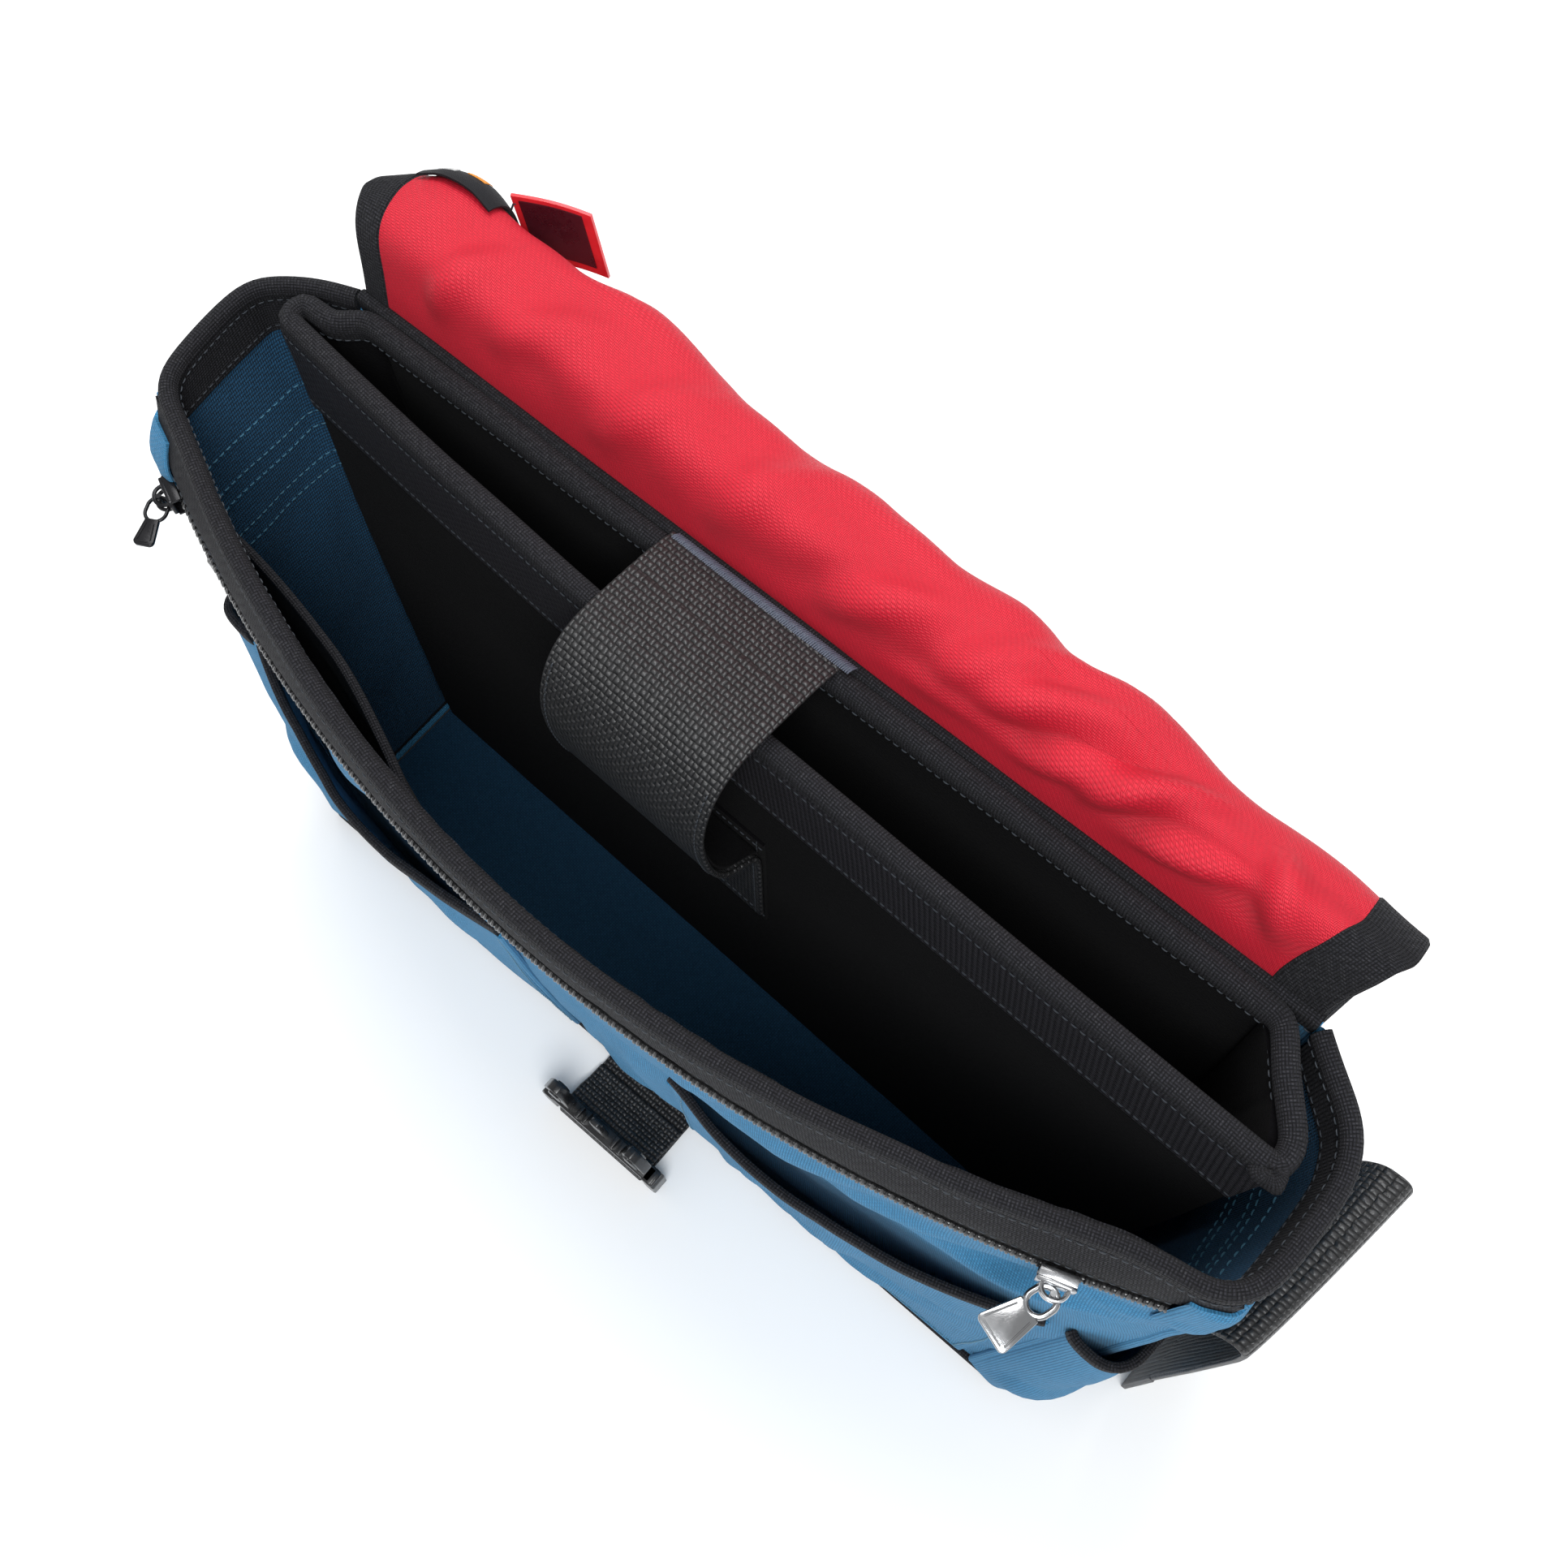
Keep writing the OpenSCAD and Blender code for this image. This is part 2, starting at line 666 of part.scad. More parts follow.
module flap_crown_lining() {
    flap_lining(flap_crease, crown_deg, crown_len);
}
module flap_top_shell() {
    flap_shell(flap_back, top_deg, top_len);
}
module flap_top_lining() {
    flap_lining(flap_back, top_deg, top_len);
}
module flap_drop_shell() {
    flap_shell(flap_knee, drop_deg, drop_len, edge_w);
}
module flap_drop_lining() {
    flap_lining(flap_knee, drop_deg, drop_len, edge_w);
}

// Tape down both edges of the hanging part and along its free end.
tape_thick = 2.2;
module flap_edge_tape() {
    half = flap_w / 2;
    color(black) difference() {
        flap_part(flap_knee, drop_deg, drop_len, -tape_thick, tape_thick, -half, half);
        translate([0, flap_knee.x, flap_knee.y]) rotate([drop_deg, 0, 0])
            box([edge_w - half, half - edge_w], [0, drop_len - fold_gap - edge_w],
                [-tape_thick - 1, tape_thick + 1]);
    }
}

// Woven label and retail tag at the left of the roll.
label_x = [12 - flap_w / 2, 40 - flap_w / 2];
module flap_label() {
    color(black) flap_part(flap_back, top_deg, 24, cloth_gap + cloth_t + hair,
                           cloth_gap + cloth_t + 1, label_x[0], label_x[1]);
}
tag_x = [40.5 - flap_w / 2, 67 - flap_w / 2];
module hang_tag() {
    color(red) flap_part(flap_back, top_deg, 34, cloth_gap + cloth_t + 2,
                         cloth_gap + cloth_t + 2.8, tag_x[0], tag_x[1]);
}

// Female half of the side-release buckle, on the flap's outside near its end.
buckle_w = front_strap_w + 18;
buckle_len = 46;
buckle_t = 12;
buckle_wall = 2.2;
socket_half = buckle_w / 2 - buckle_wall;
socket_deep = 34;
prong_w = 7;
female_from = drop_len - 10 - buckle_len;
module on_drop(along) {
    translate([buckle_x, flap_knee.x, flap_knee.y]) rotate([drop_deg, 0, 0])
        translate([0, along, -cloth_gap - cloth_t - hair]) children();
}
module female_webbing() {
    color(black) on_drop(female_from - 42)
        box([-front_strap_w / 2, front_strap_w / 2], [0, 40], [-web_t, 0]);
}
module female_buckle() {
    color(black) on_drop(female_from) difference() {
        box([-buckle_w / 2, buckle_w / 2], [0, buckle_len], [-buckle_t - web_t, -web_t]);
        box([-socket_half, socket_half], [buckle_len - socket_deep, buckle_len + 1],
            [-buckle_t - web_t + buckle_wall, -web_t - buckle_wall]);
    }
}

// ---- front closing strap ------------------------------------------------------------

// The webbing runs out from the base's front seam, round the buckle's bar and back.
bar_r = 2.5;
turn_r = bar_r + clear + web_t / 2;
bar_z = turn_r + web_t / 2 + 0.6;
bar_y = -half_depth - front_strap_reach;
strap_root_y = -half_depth - fabric_t - 2;

module front_webbing() {
    turn = [for (a = [270:-30:90]) [bar_y + turn_r * cos(a), bar_z + turn_r * sin(a)]];
    path = concat([[strap_root_y, bar_z - turn_r]], turn,
                  [[bar_y + 12, bar_z + turn_r - 1], [bar_y + 20, bar_z - turn_r + web_t + clear]]);
    color(black) along_x(buckle_x, front_strap_w) band(path, web_t);
}

// Male half: a bar, two arms, a cross plate, a centre guide and two sprung prongs.
arm_x = front_strap_w / 2 + 1.5;
arm_half = 4;
plate_from = 9;
plate_to = 16;
prong_end = plate_to + socket_deep - 6;
barb_z = prong_end - 14;
barb_x = socket_half - 1.8;
prong_x = barb_x - 13;
guide_w = 7;
guide_t = 3;
prong_t = 5;
module male_buckle() {
    color(black) translate([buckle_x, bar_y, bar_z]) {
        translate([-arm_x - 1, 0, 0]) rotate([0, 90, 0]) cylinder(r = bar_r, h = 2 * arm_x + 2);
        for (side = [-1, 1])
            translate([side > 0 ? arm_x : -buckle_w / 2, -arm_half, -arm_half])
                cube([buckle_w / 2 - arm_x, 2 * arm_half, arm_half + plate_to]);
        box([-buckle_w / 2, buckle_w / 2], [-arm_half, arm_half], [plate_from, plate_to]);
        box([-guide_w / 2, guide_w / 2], [-guide_t / 2, guide_t / 2],
            [plate_to - 1, prong_end - 6]);
        for (side = [-1, 1])
            translate([side > 0 ? prong_x : -prong_x - prong_w, -prong_t / 2, plate_to - 1])
                cube([prong_w, prong_t, prong_end - plate_to]);
        for (side = [-1, 1]) translate([side * (prong_x + prong_w - 1), prong_t / 2, 0])
            rotate([90, 0, 0]) linear_extrude(prong_t)
                polygon([[0, barb_z], [side * (barb_x - prong_x - prong_w + 1), barb_z],
                         [side * 2, prong_end], [0, prong_end]]);
    }
}

// ---- shoulder strap ---------------------------------------------------------------

crease_z = body_h - crease_drop;
strap_y = [-strap_w / 2 + 12, strap_w / 2 + 12];
strap_x = half_mouth + strap_stand;
edge_z = [0.5, 0.5 + strap_w];
corner_r = 32;
run_y = half_depth + fabric_t + 8;
fold_r = 4.5;
turn_x = strap_x - corner_r;

tab_t = [0.24, 0.86];
tab_z = [crease_z - 48, crease_z - 6];
lip = 9;

module strap_end_right() {
    color(black) end_layer(tab_t[0], tab_t[1], tab_z[0], tab_z[1], fabric_t + clear,
                           fabric_t + clear + strap_t);
}
module strap_end_left() {
    mirror([1, 0, 0]) strap_end_right();
}

// The strap hangs from its crease, turns on a flat fold at the floor and runs behind the bag
// on its edge, with one fold to and fro.
function arc(centre, r, from, to, steps = 6) = [for (i = [0:steps])
    let (a = lerp(from, to, i / steps)) centre + r * [cos(a), sin(a)]];
left_run_y = run_y + 4 * fold_r;
strap_plan = concat(
    [[strap_x, strap_y[0]]],
    arc([turn_x, run_y - corner_r], corner_r, 0, 90),
    arc([-stow_len / 2, run_y + fold_r], fold_r, 270, 90, 5),
    arc([stow_len / 2, run_y + 3 * fold_r], fold_r, -90, 90, 5),
    arc([-turn_x, left_run_y - corner_r], corner_r, 90, 180),
    [[-strap_x, strap_y[0]]]);

module shoulder_strap() {
    color(black) {
        translate([0, 0, edge_z[0]]) linear_extrude(strap_w) band(strap_plan, strap_t);
        for (side = [-1, 1])
            translate([side * strap_x - strap_t / 2, strap_y[0], edge_z[1]])
                cube([strap_t, strap_w, crease_z - edge_z[1]]);
        for (side = [-1, 1])
            translate([side > 0 ? strap_x - lip : -strap_x - strap_t / 2, strap_y[0], crease_z])
                cube([lip + strap_t / 2, strap_w, strap_t]);
    }
}

// Ladder slider round the hanging part of the strap on the left.
adjust_z = crease_z - 96;
frame_w = 5;
frame_h = 32;
bar_t = 2;
module strap_adjuster() {
    inside = strap_w / 2 + clear + 0.3;
    outside = inside + frame_w;
    depth = strap_t + 2 * clear;
    color(black) translate([-strap_x, (strap_y[0] + strap_y[1]) / 2, adjust_z - frame_h / 2]) {
        for (side = [-1, 1])
            translate([-depth / 2 - bar_t, side > 0 ? inside : -outside, 0])
                cube([depth + 2 * bar_t, frame_w, frame_h]);
        for (bar = [0, (frame_h - frame_w) / 2, frame_h - frame_w])
            translate([-depth / 2 - bar_t, -outside, bar]) cube([bar_t, 2 * outside, frame_w]);
        for (bar = [0, frame_h - frame_w])
            translate([depth / 2, -outside, bar]) cube([bar_t, 2 * outside, frame_w]);
    }
}

base_panel();
base_board();
base_lining();
front_panel_lower_left();
front_panel_lower_right();
front_panel_upper();
front_inner_wall_left();
front_inner_wall_right();
end_panel_left();
end_panel_right();
back_panel();
rim_binding();
patch_pocket_left();
patch_pocket_right();
patch_binding_left();
patch_binding_right();
end_pocket_left();
end_pocket_right();
end_trim_left();
end_trim_right();
organiser_pocket();
organiser_binding();
divider_front_skin();
divider_foam();
divider_back_skin();
divider_band();
sleeve_back_skin();
sleeve_back_foam();
sleeve_gusset_left();
sleeve_gusset_right();
sleeve_floor_pad();
sleeve_binding();
loop_patch();
grip_strap_root();
grip_strap_end();
zip_tape();
zip_coil();
slider_right();
pull_right();
slider_left();
pull_left();
flap_riser_shell();
flap_riser_lining();
flap_crown_shell();
flap_crown_lining();
flap_top_shell();
flap_top_lining();
flap_drop_shell();
flap_drop_lining();
flap_edge_tape();
flap_label();
hang_tag();
female_webbing();
female_buckle();
front_webbing();
male_buckle();
strap_end_left();
strap_end_right();
shoulder_strap();
strap_adjuster();
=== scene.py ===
import bpy
import bmesh
import math
import numpy as np
from mathutils import Matrix, Vector


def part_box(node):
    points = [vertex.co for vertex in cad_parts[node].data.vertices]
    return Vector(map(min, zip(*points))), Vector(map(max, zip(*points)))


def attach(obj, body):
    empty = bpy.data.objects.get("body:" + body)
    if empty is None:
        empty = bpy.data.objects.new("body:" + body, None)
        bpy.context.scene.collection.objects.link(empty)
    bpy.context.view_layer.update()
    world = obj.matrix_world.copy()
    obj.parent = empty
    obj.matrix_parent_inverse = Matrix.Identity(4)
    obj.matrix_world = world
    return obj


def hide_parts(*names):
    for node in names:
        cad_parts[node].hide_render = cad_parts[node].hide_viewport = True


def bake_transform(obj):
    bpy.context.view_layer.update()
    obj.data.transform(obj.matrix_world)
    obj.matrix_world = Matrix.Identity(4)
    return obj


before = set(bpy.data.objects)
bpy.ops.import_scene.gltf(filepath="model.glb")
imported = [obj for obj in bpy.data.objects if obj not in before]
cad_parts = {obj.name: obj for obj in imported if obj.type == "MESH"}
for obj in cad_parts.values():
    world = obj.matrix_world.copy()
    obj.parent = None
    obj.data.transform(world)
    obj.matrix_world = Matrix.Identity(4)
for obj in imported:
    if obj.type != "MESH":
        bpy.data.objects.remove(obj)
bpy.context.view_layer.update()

# ---------------------------------------------------------------- sizes, metres
HALF_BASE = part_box("base_panel")[1][0] - 0.0015
HALF_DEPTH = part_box("base_panel")[1][1] - 0.0015
BODY_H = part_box("rim_binding")[1][2] - 0.004
MOUTH = 0.234
CORNER_Y = 0.037 - HALF_DEPTH
BOW = 0.055
BASE_TOP = 0.005
WINDOW_LOW, WINDOW_HIGH = 0.246, 0.264
WALL_TOP = BODY_H - 0.004
RIM_R = (MOUTH ** 2 + BOW ** 2) / (2 * BOW)
ARC_HALF = math.asin(MOUTH / RIM_R)
RIM_CY = CORNER_Y - BOW + RIM_R
SLEEVE_H = BODY_H - 0.002
TOP_LEN, FOOT_LEN, SKEW = 0.440, 0.392, 0.014
SLOPE = SKEW / TOP_LEN
TURN = -math.atan(SLOPE)
GRIP_X = -0.018
BUCKLE_X = 0.005


# ---------------------------------------------------------------- noise and paths
def grain(x, y, z, seed):
    """Smooth value noise from -1 to 1, the same on every run."""
    def corner(i, j, k):
        n = (i * 374761393 + j * 668265263 + k * 1274126177 + seed * 362437) & 0xFFFFFFFF
        n = ((n ^ (n >> 13)) * 1103515245) & 0xFFFFFFFF
        n = ((n ^ (n >> 16)) * 2654435761) & 0xFFFFFFFF
        return ((n ^ (n >> 15)) & 0xFFFF) / 32767.5 - 1.0
    x, y, z = np.broadcast_arrays(np.asarray(x, float), np.asarray(y, float), np.asarray(z, float))
    i, j, k = (np.floor(a).astype(np.int64) for a in (x, y, z))
    fx, fy, fz = x - i, y - j, z - k
    sx, sy, sz = (f * f * f * (f * (f * 6 - 15) + 10) for f in (fx, fy, fz))
    out = 0
    for a in (0, 1):
        for b in (0, 1):
            for c in (0, 1):
                w = (sx if a else 1 - sx) * (sy if b else 1 - sy) * (sz if c else 1 - sz)
                out = out + w * corner(i + a, j + b, k + c)
    return out


def ridges(u, v, lines):
    """Soft creases: each is (u, v, angle, length, width, height)."""
    out = np.zeros(np.broadcast(u, v).shape)
    for cu, cv, deg, length, width, height in lines:
        c, s = math.cos(math.radians(deg)), math.sin(math.radians(deg))
        a = (u - cu) * c + (v - cv) * s
        b = -(u - cu) * s + (v - cv) * c
        b = b + 0.15 * length * (a / length) ** 2
        t = np.clip(1 - (2 * a / length) ** 2, 0, 1)
        w = width * (0.55 + 0.45 * t)
        out += height * t * t * (np.exp(-(b / w) ** 2) - 0.45 * np.exp(-((b - 1.7 * w) / (1.2 * w)) ** 2))
    return out


def fade(x, a, b):
    t = np.clip((np.asarray(x, float) - a) / (b - a), 0, 1)
    return t * t * (3 - 2 * t)


def along(points):
    p = np.asarray(points, float)
    return np.concatenate([[0], np.cumsum(np.linalg.norm(np.diff(p, axis=0), axis=1))])


def run_of(points, step, soften=0.0, closed=False):
    """Points every step along a run, its corners rounded by about soften."""
    p = np.asarray(points, float)
    if closed:
        p = np.vstack([p, p[:1]])
    d = along(p)
    n = max(3, int(round(d[-1] / step)))
    at = np.linspace(0, d[-1], n + 1)
    q = np.stack([np.interp(at, d, p[:, k]) for k in range(p.shape[1])], 1)
    if closed:
        q = q[:-1]
    if soften > 0:
        sigma = soften / step
        half = int(3 * sigma) + 1
        w = np.exp(-0.5 * (np.arange(-half, half + 1) / sigma) ** 2)
        w /= w.sum()
        if closed:
            pad = np.vstack([q[-half:], q, q[:half]])
        else:
            pad = np.vstack([2 * q[0] - q[half:0:-1], q, 2 * q[-1] - q[-2:-half - 2:-1]])
        q = np.stack([np.convolve(pad[:, k], w, "valid") for k in range(q.shape[1])], 1)
    return q


def unit(v):
    v = np.asarray(v, float)
    return v / np.maximum(np.linalg.norm(v, axis=-1, keepdims=True), 1e-12)


# ---------------------------------------------------------------- walls of the bag
LEAN_X = [-0.234, -0.222, -0.207, -0.188, -0.163, -0.136, -0.112, -0.06, 0, 0.06, 0.112, 0.153, 0.181, 0.2,
          0.215, 0.225, 0.234]
LEAN_Y = [0.0065, 0.0078, 0.0078, 0.0070, 0.0062, 0.0055, 0.0050, 0.0032, 0.002, 0.003, 0.0042, 0.0055,
          0.0064, 0.0058, 0.0025, -0.0012, 0.0]


def lean_in(x, z):
    """The rim above the zip leans into the bag."""
    return fade(z, WINDOW_HIGH - 0.002, BODY_H) * np.interp(x, LEAN_X, LEAN_Y)


def front_at(s, z, off=0.0):
    """The bowed front wall: s from -1 to 1 along it, z up, off outwards."""
    s, z, off = np.broadcast_arrays(np.asarray(s, float), np.asarray(z, float), np.asarray(off, float))
    v, a = z / BODY_H, s * ARC_HALF
    fa = HALF_BASE / math.sin(ARC_HALF) * (1 - v) + RIM_R * v
    fb = v * RIM_R
    n = unit(np.stack([fb * np.sin(a), -fa * np.cos(a)], -1))
    x = fa * np.sin(a)
    y = -HALF_DEPTH * (1 - v) + (RIM_CY - RIM_R * np.cos(a)) * v + lean_in(x, z)
    return np.stack([x + off * n[..., 0], y + off * n[..., 1], z], -1)


# the right end stands flat with a round back corner, the left one kinks outwards near the back
END_RUN = {
    1: run_of([(MOUTH, CORNER_Y), (0.2352, -0.005), (0.2355, 0.010), (0.2350, 0.026), (0.2295, 0.0385),
               (0.2185, 0.0465), (0.2100, 0.0525), (HALF_BASE, HALF_DEPTH)], 0.001, 0.0035),
    -1: run_of([(MOUTH, CORNER_Y), (0.2362, -0.002), (0.2380, 0.015), (0.2392, 0.0375), (0.2235, 0.0500),
                (HALF_BASE, HALF_DEPTH)], 0.001, 0.0030),
}


def end_mid(t, v, sign):
    e = END_RUN[sign]
    at = np.linspace(0, 1, len(e))
    x, y = np.interp(t, at, e[:, 0]), np.interp(t, at, e[:, 1])
    return HALF_BASE * (1 - v) + x * v, (-HALF_DEPTH + 2 * HALF_DEPTH * t) * (1 - v) + y * v


def end_at(t, z, off=0.0, sign=1):
    """An end wall: t from 0 at the front corner to 1 at the back, z up, off outwards."""
    t, z, off = np.broadcast_arrays(np.asarray(t, float), np.asarray(z, float), np.asarray(off, float))
    v = z / BODY_H
    x1, y1 = end_mid(t + 0.03, v, sign)
    x0, y0 = end_mid(t - 0.03, v, sign)
    d = unit(np.stack([x1 - x0, y1 - y0], -1))
    x, y = end_mid(t, v, sign)
    y = y + lean_in(sign * MOUTH, z) * (1 - fade(t, 0.0, 0.45))
    return np.stack([sign * (x + off * d[..., 1]), y - off * d[..., 0], z], -1)


# ---------------------------------------------------------------- materials
def nodes_of(mat):
    mat.use_nodes = True
    t = mat.node_tree
    t.nodes.clear()
    return t


class Net:
    """Small helper for wiring shader nodes."""
    def __init__(self, name):
        self.mat = bpy.data.materials.new(name)
        self.t = nodes_of(self.mat)

    def n(self, kind, **props):
        node = self.t.nodes.new(kind)
        for k, v in props.items():
            setattr(node, k, v)
        return node

    def put(self, socket, value):
        if isinstance(value, bpy.types.NodeSocket):
            self.t.links.new(value, socket)
        else:
            socket.default_value = value

    def math(self, op, a, b=0.0, c=0.0):
        m = self.n("ShaderNodeMath", operation=op)
        self.put(m.inputs[0], a)
        if len(m.inputs) > 1:
            self.put(m.inputs[1], b)
        if len(m.inputs) > 2:
            self.put(m.inputs[2], c)
        return m.outputs[0]

    def noise(self, vec, scale, detail=3.0, rough=0.5):
        m = self.n("ShaderNodeTexNoise")
        self.put(m.inputs["Vector"], vec)
        self.put(m.inputs["Scale"], scale)
        self.put(m.inputs["Detail"], detail)
        self.put(m.inputs["Roughness"], rough)
        return m.outputs[0]

    def mix(self, fac, a, b):
        m = self.n("ShaderNodeMix", data_type="RGBA")
        self.put(m.inputs[0], fac)
        self.put(m.inputs[6], a)
        self.put(m.inputs[7], b)
        return m.outputs[2]

    def ramp(self, fac, lo, hi, out_lo=0.0, out_hi=1.0):
        m = self.n("ShaderNodeMapRange")
        self.put(m.inputs[0], fac)
        for i, v in zip((1, 2, 3, 4), (lo, hi, out_lo, out_hi)):
            m.inputs[i].default_value = v
        return m.outputs[0]


def rgba(c, k=1.0):
    return (c[0] * k, c[1] * k, c[2] * k, 1.0)


def weave(net, u, v, pu, pv, kind):
    """Height 0..1 of a weave, and which set of threads is on top."""
    a, b = net.math("DIVIDE", u, pu), net.math("DIVIDE", v, pv)
    ia, ib = net.math("FLOOR", a), net.math("FLOOR", b)
    if kind == "plain":
        top = net.math("MODULO", net.math("ADD", net.math("ADD", ia, ib), 4096.0), 2.0)
        top = net.math("LESS_THAN", top, 0.5)
    elif kind == "basket":
        ja, jb = net.math("FLOOR", net.math("DIVIDE", a, 2.0)), ib
        top = net.math("MODULO", net.math("ADD", net.math("ADD", ja, jb), 4096.0), 2.0)
        top = net.math("LESS_THAN", top, 0.5)
    elif kind == "twill":
        top = net.math("MODULO", net.math("ADD", net.math("ADD", ia, ib), 4096.0), 4.0)
        top = net.math("LESS_THAN", top, 1.5)
    else:
        back = net.math("PINGPONG", ia, 6.0)
        top = net.math("MODULO", net.math("ADD", net.math("ADD", back, ib), 4096.0), 4.0)
        top = net.math("LESS_THAN", top, 1.5)
    ra = net.math("ABSOLUTE", net.math("SINE", net.math("MULTIPLY", a, math.pi)))
    rb = net.math("ABSOLUTE", net.math("SINE", net.math("MULTIPLY", b, math.pi)))
    ra, rb = net.math("POWER", ra, 0.6), net.math("POWER", rb, 0.6)
    h1 = net.math("MULTIPLY", ra, net.math("ADD", net.math("MULTIPLY", rb, 0.45), 0.55))
    h2 = net.math("MULTIPLY", rb, net.math("ADD", net.math("MULTIPLY", ra, 0.45), 0.55))
    h = net.math("ADD", net.math("MULTIPLY", h1, top),
                 net.math("MULTIPLY", net.math("MULTIPLY", h2, 0.82), net.math("SUBTRACT", 1.0, top)))
    return h, top


def fabric(name, base, kind="plain", pitch=(0.0007, 0.0007), light=1.35, dark=0.45, rough=0.85,
           sheen=0.25, bump=0.0003, spread=0.08, spec=0.18, sheen_tint=None, wear_and_glint=0.0):
    net = Net(name)
    at = net.n("ShaderNodeAttribute", attribute_name="cloth", attribute_type="GEOMETRY").outputs["Vector"]
    sep = net.n("ShaderNodeSeparateXYZ")
    net.put(sep.inputs[0], at)
    place = net.n("ShaderNodeTexCoord").outputs["Object"]
    wob = net.noise(place, 260.0, 2.0)
    u = net.math("ADD", sep.outputs[0], net.math("MULTIPLY", net.math("SUBTRACT", wob, 0.5),
                                                 pitch[0] * 0.35))
    v = net.math("ADD", sep.outputs[1], net.math("MULTIPLY", net.math("SUBTRACT", wob, 0.5),
                                                 pitch[1] * 0.35))
    h, _ = weave(net, u, v, pitch[0], pitch[1], kind)
    cell = net.n("ShaderNodeTexWhiteNoise", noise_dimensions="2D")
    comb = net.n("ShaderNodeCombineXYZ")
    net.put(comb.inputs[0], net.math("FLOOR", net.math("DIVIDE", u, pitch[0])))
    net.put(comb.inputs[1], net.math("MULTIPLY", net.math("FLOOR", net.math("DIVIDE", v, pitch[1])), 1.0))
    net.put(cell.inputs["Vector"], comb.outputs[0])
    broad = net.noise(place, 14.0, 3.0, 0.6)
    fine = net.noise(place, 420.0, 3.0, 0.6)
    tone = net.math("ADD", net.math("MULTIPLY", cell.outputs[0], 0.5), net.math("MULTIPLY", broad, 0.5))
    # each thread lighter on its crown and darker where it dips: painted light and painted shade of the
    # weave
    body = net.mix(h, rgba(base, dark), rgba(base, light))
    shade = net.ramp(tone, 0.2, 0.8, 1.0 - spread, 1.0 + spread)
    gain = net.n("ShaderNodeVectorMath", operation="SCALE")
    net.put(gain.inputs[0], body)
    net.put(gain.inputs[3], shade)
    colour = gain.outputs[0]
    # light flecks on the threads' crowns: partly fibre wear, partly painted glint
    if wear_and_glint > 0:
        speck = net.ramp(net.math("MULTIPLY", fine, h), 0.42, 0.62, 0.0, wear_and_glint)
        colour = net.mix(speck, colour, rgba([min(1.0, c * 3 + 0.05) for c in base]))
    b = net.n("ShaderNodeBump")
    b.inputs["Distance"].default_value = bump
    b.inputs["Strength"].default_value = 1.0
    net.put(b.inputs["Height"], net.math("ADD", h, net.math("MULTIPLY", fine, 0.35)))
    s = net.n("ShaderNodeBsdfPrincipled")
    net.put(s.inputs["Base Color"], colour)
    net.put(s.inputs["Normal"], b.outputs[0])
    net.put(s.inputs["Roughness"], net.ramp(net.math("ADD", fine, net.math("MULTIPLY", h, -0.3)), 0.0, 1.0,
                                            rough - 0.08, min(1.0, rough + 0.1)))
    s.inputs["Sheen Weight"].default_value = sheen
    s.inputs["Sheen Roughness"].default_value = 0.4
    s.inputs["Sheen Tint"].default_value = rgba(sheen_tint or (1, 1, 1))
    s.inputs["Specular IOR Level"].default_value = spec
    out = net.n("ShaderNodeOutputMaterial")
    net.put(out.inputs[0], s.outputs[0])
    return net.mat


def pile(name, base, rough=0.95, scale=900.0, bump=0.0005, sheen=0.5):
    """Brushed cloth or loop pile: a fine random nap with no visible weave."""
    net = Net(name)
    place = net.n("ShaderNodeTexCoord").outputs["Object"]
    fine = net.noise(place, scale, 4.0, 0.7)
    broad = net.noise(place, 22.0, 3.0, 0.6)
    tone = net.math("ADD", net.math("MULTIPLY", fine, 0.7), net.math("MULTIPLY", broad, 0.3))
    colour = net.mix(net.ramp(tone, 0.3, 0.75), rgba(base, 0.5), rgba(base, 1.6))
    b = net.n("ShaderNodeBump")
    b.inputs["Distance"].default_value = bump
    net.put(b.inputs["Height"], tone)
    s = net.n("ShaderNodeBsdfPrincipled")
    net.put(s.inputs["Base Color"], colour)
    net.put(s.inputs["Normal"], b.outputs[0])
    net.put(s.inputs["Roughness"], net.ramp(broad, 0.2, 0.8, rough - 0.08, rough + 0.04))
    s.inputs["Sheen Weight"].default_value = sheen
    s.inputs["Sheen Roughness"].default_value = 0.5
    s.inputs["Specular IOR Level"].default_value = 0.06
    out = net.n("ShaderNodeOutputMaterial")
    net.put(out.inputs[0], s.outputs[0])
    return net.mat


def moulded(name, base, rough=0.3, metallic=0.0, scratch=0.3, bump=0.00004, spec=0.5):
    net = Net(name)
    place = net.n("ShaderNodeTexCoord").outputs["Object"]
    fine = net.noise(place, 1400.0, 3.0, 0.6)
    broad = net.noise(place, 60.0, 4.0, 0.65)
    colour = net.mix(net.ramp(broad, 0.35, 0.75), rgba(base, 0.85),
                     rgba([min(1, c * 1.25 + 0.004) for c in base]))
    b = net.n("ShaderNodeBump")
    b.inputs["Distance"].default_value = bump
    net.put(b.inputs["Height"], net.math("ADD", fine, net.math("MULTIPLY", broad, 0.6)))
    s = net.n("ShaderNodeBsdfPrincipled")
    net.put(s.inputs["Base Color"], colour)
    net.put(s.inputs["Normal"], b.outputs[0])
    net.put(s.inputs["Roughness"], net.ramp(broad, 0.3, 0.75, rough * (1 - scratch), rough * (1 + scratch)))
    s.inputs["Metallic"].default_value = metallic
    s.inputs["Specular IOR Level"].default_value = spec
    out = net.n("ShaderNodeOutputMaterial")
    net.put(out.inputs[0], s.outputs[0])
    return net.mat


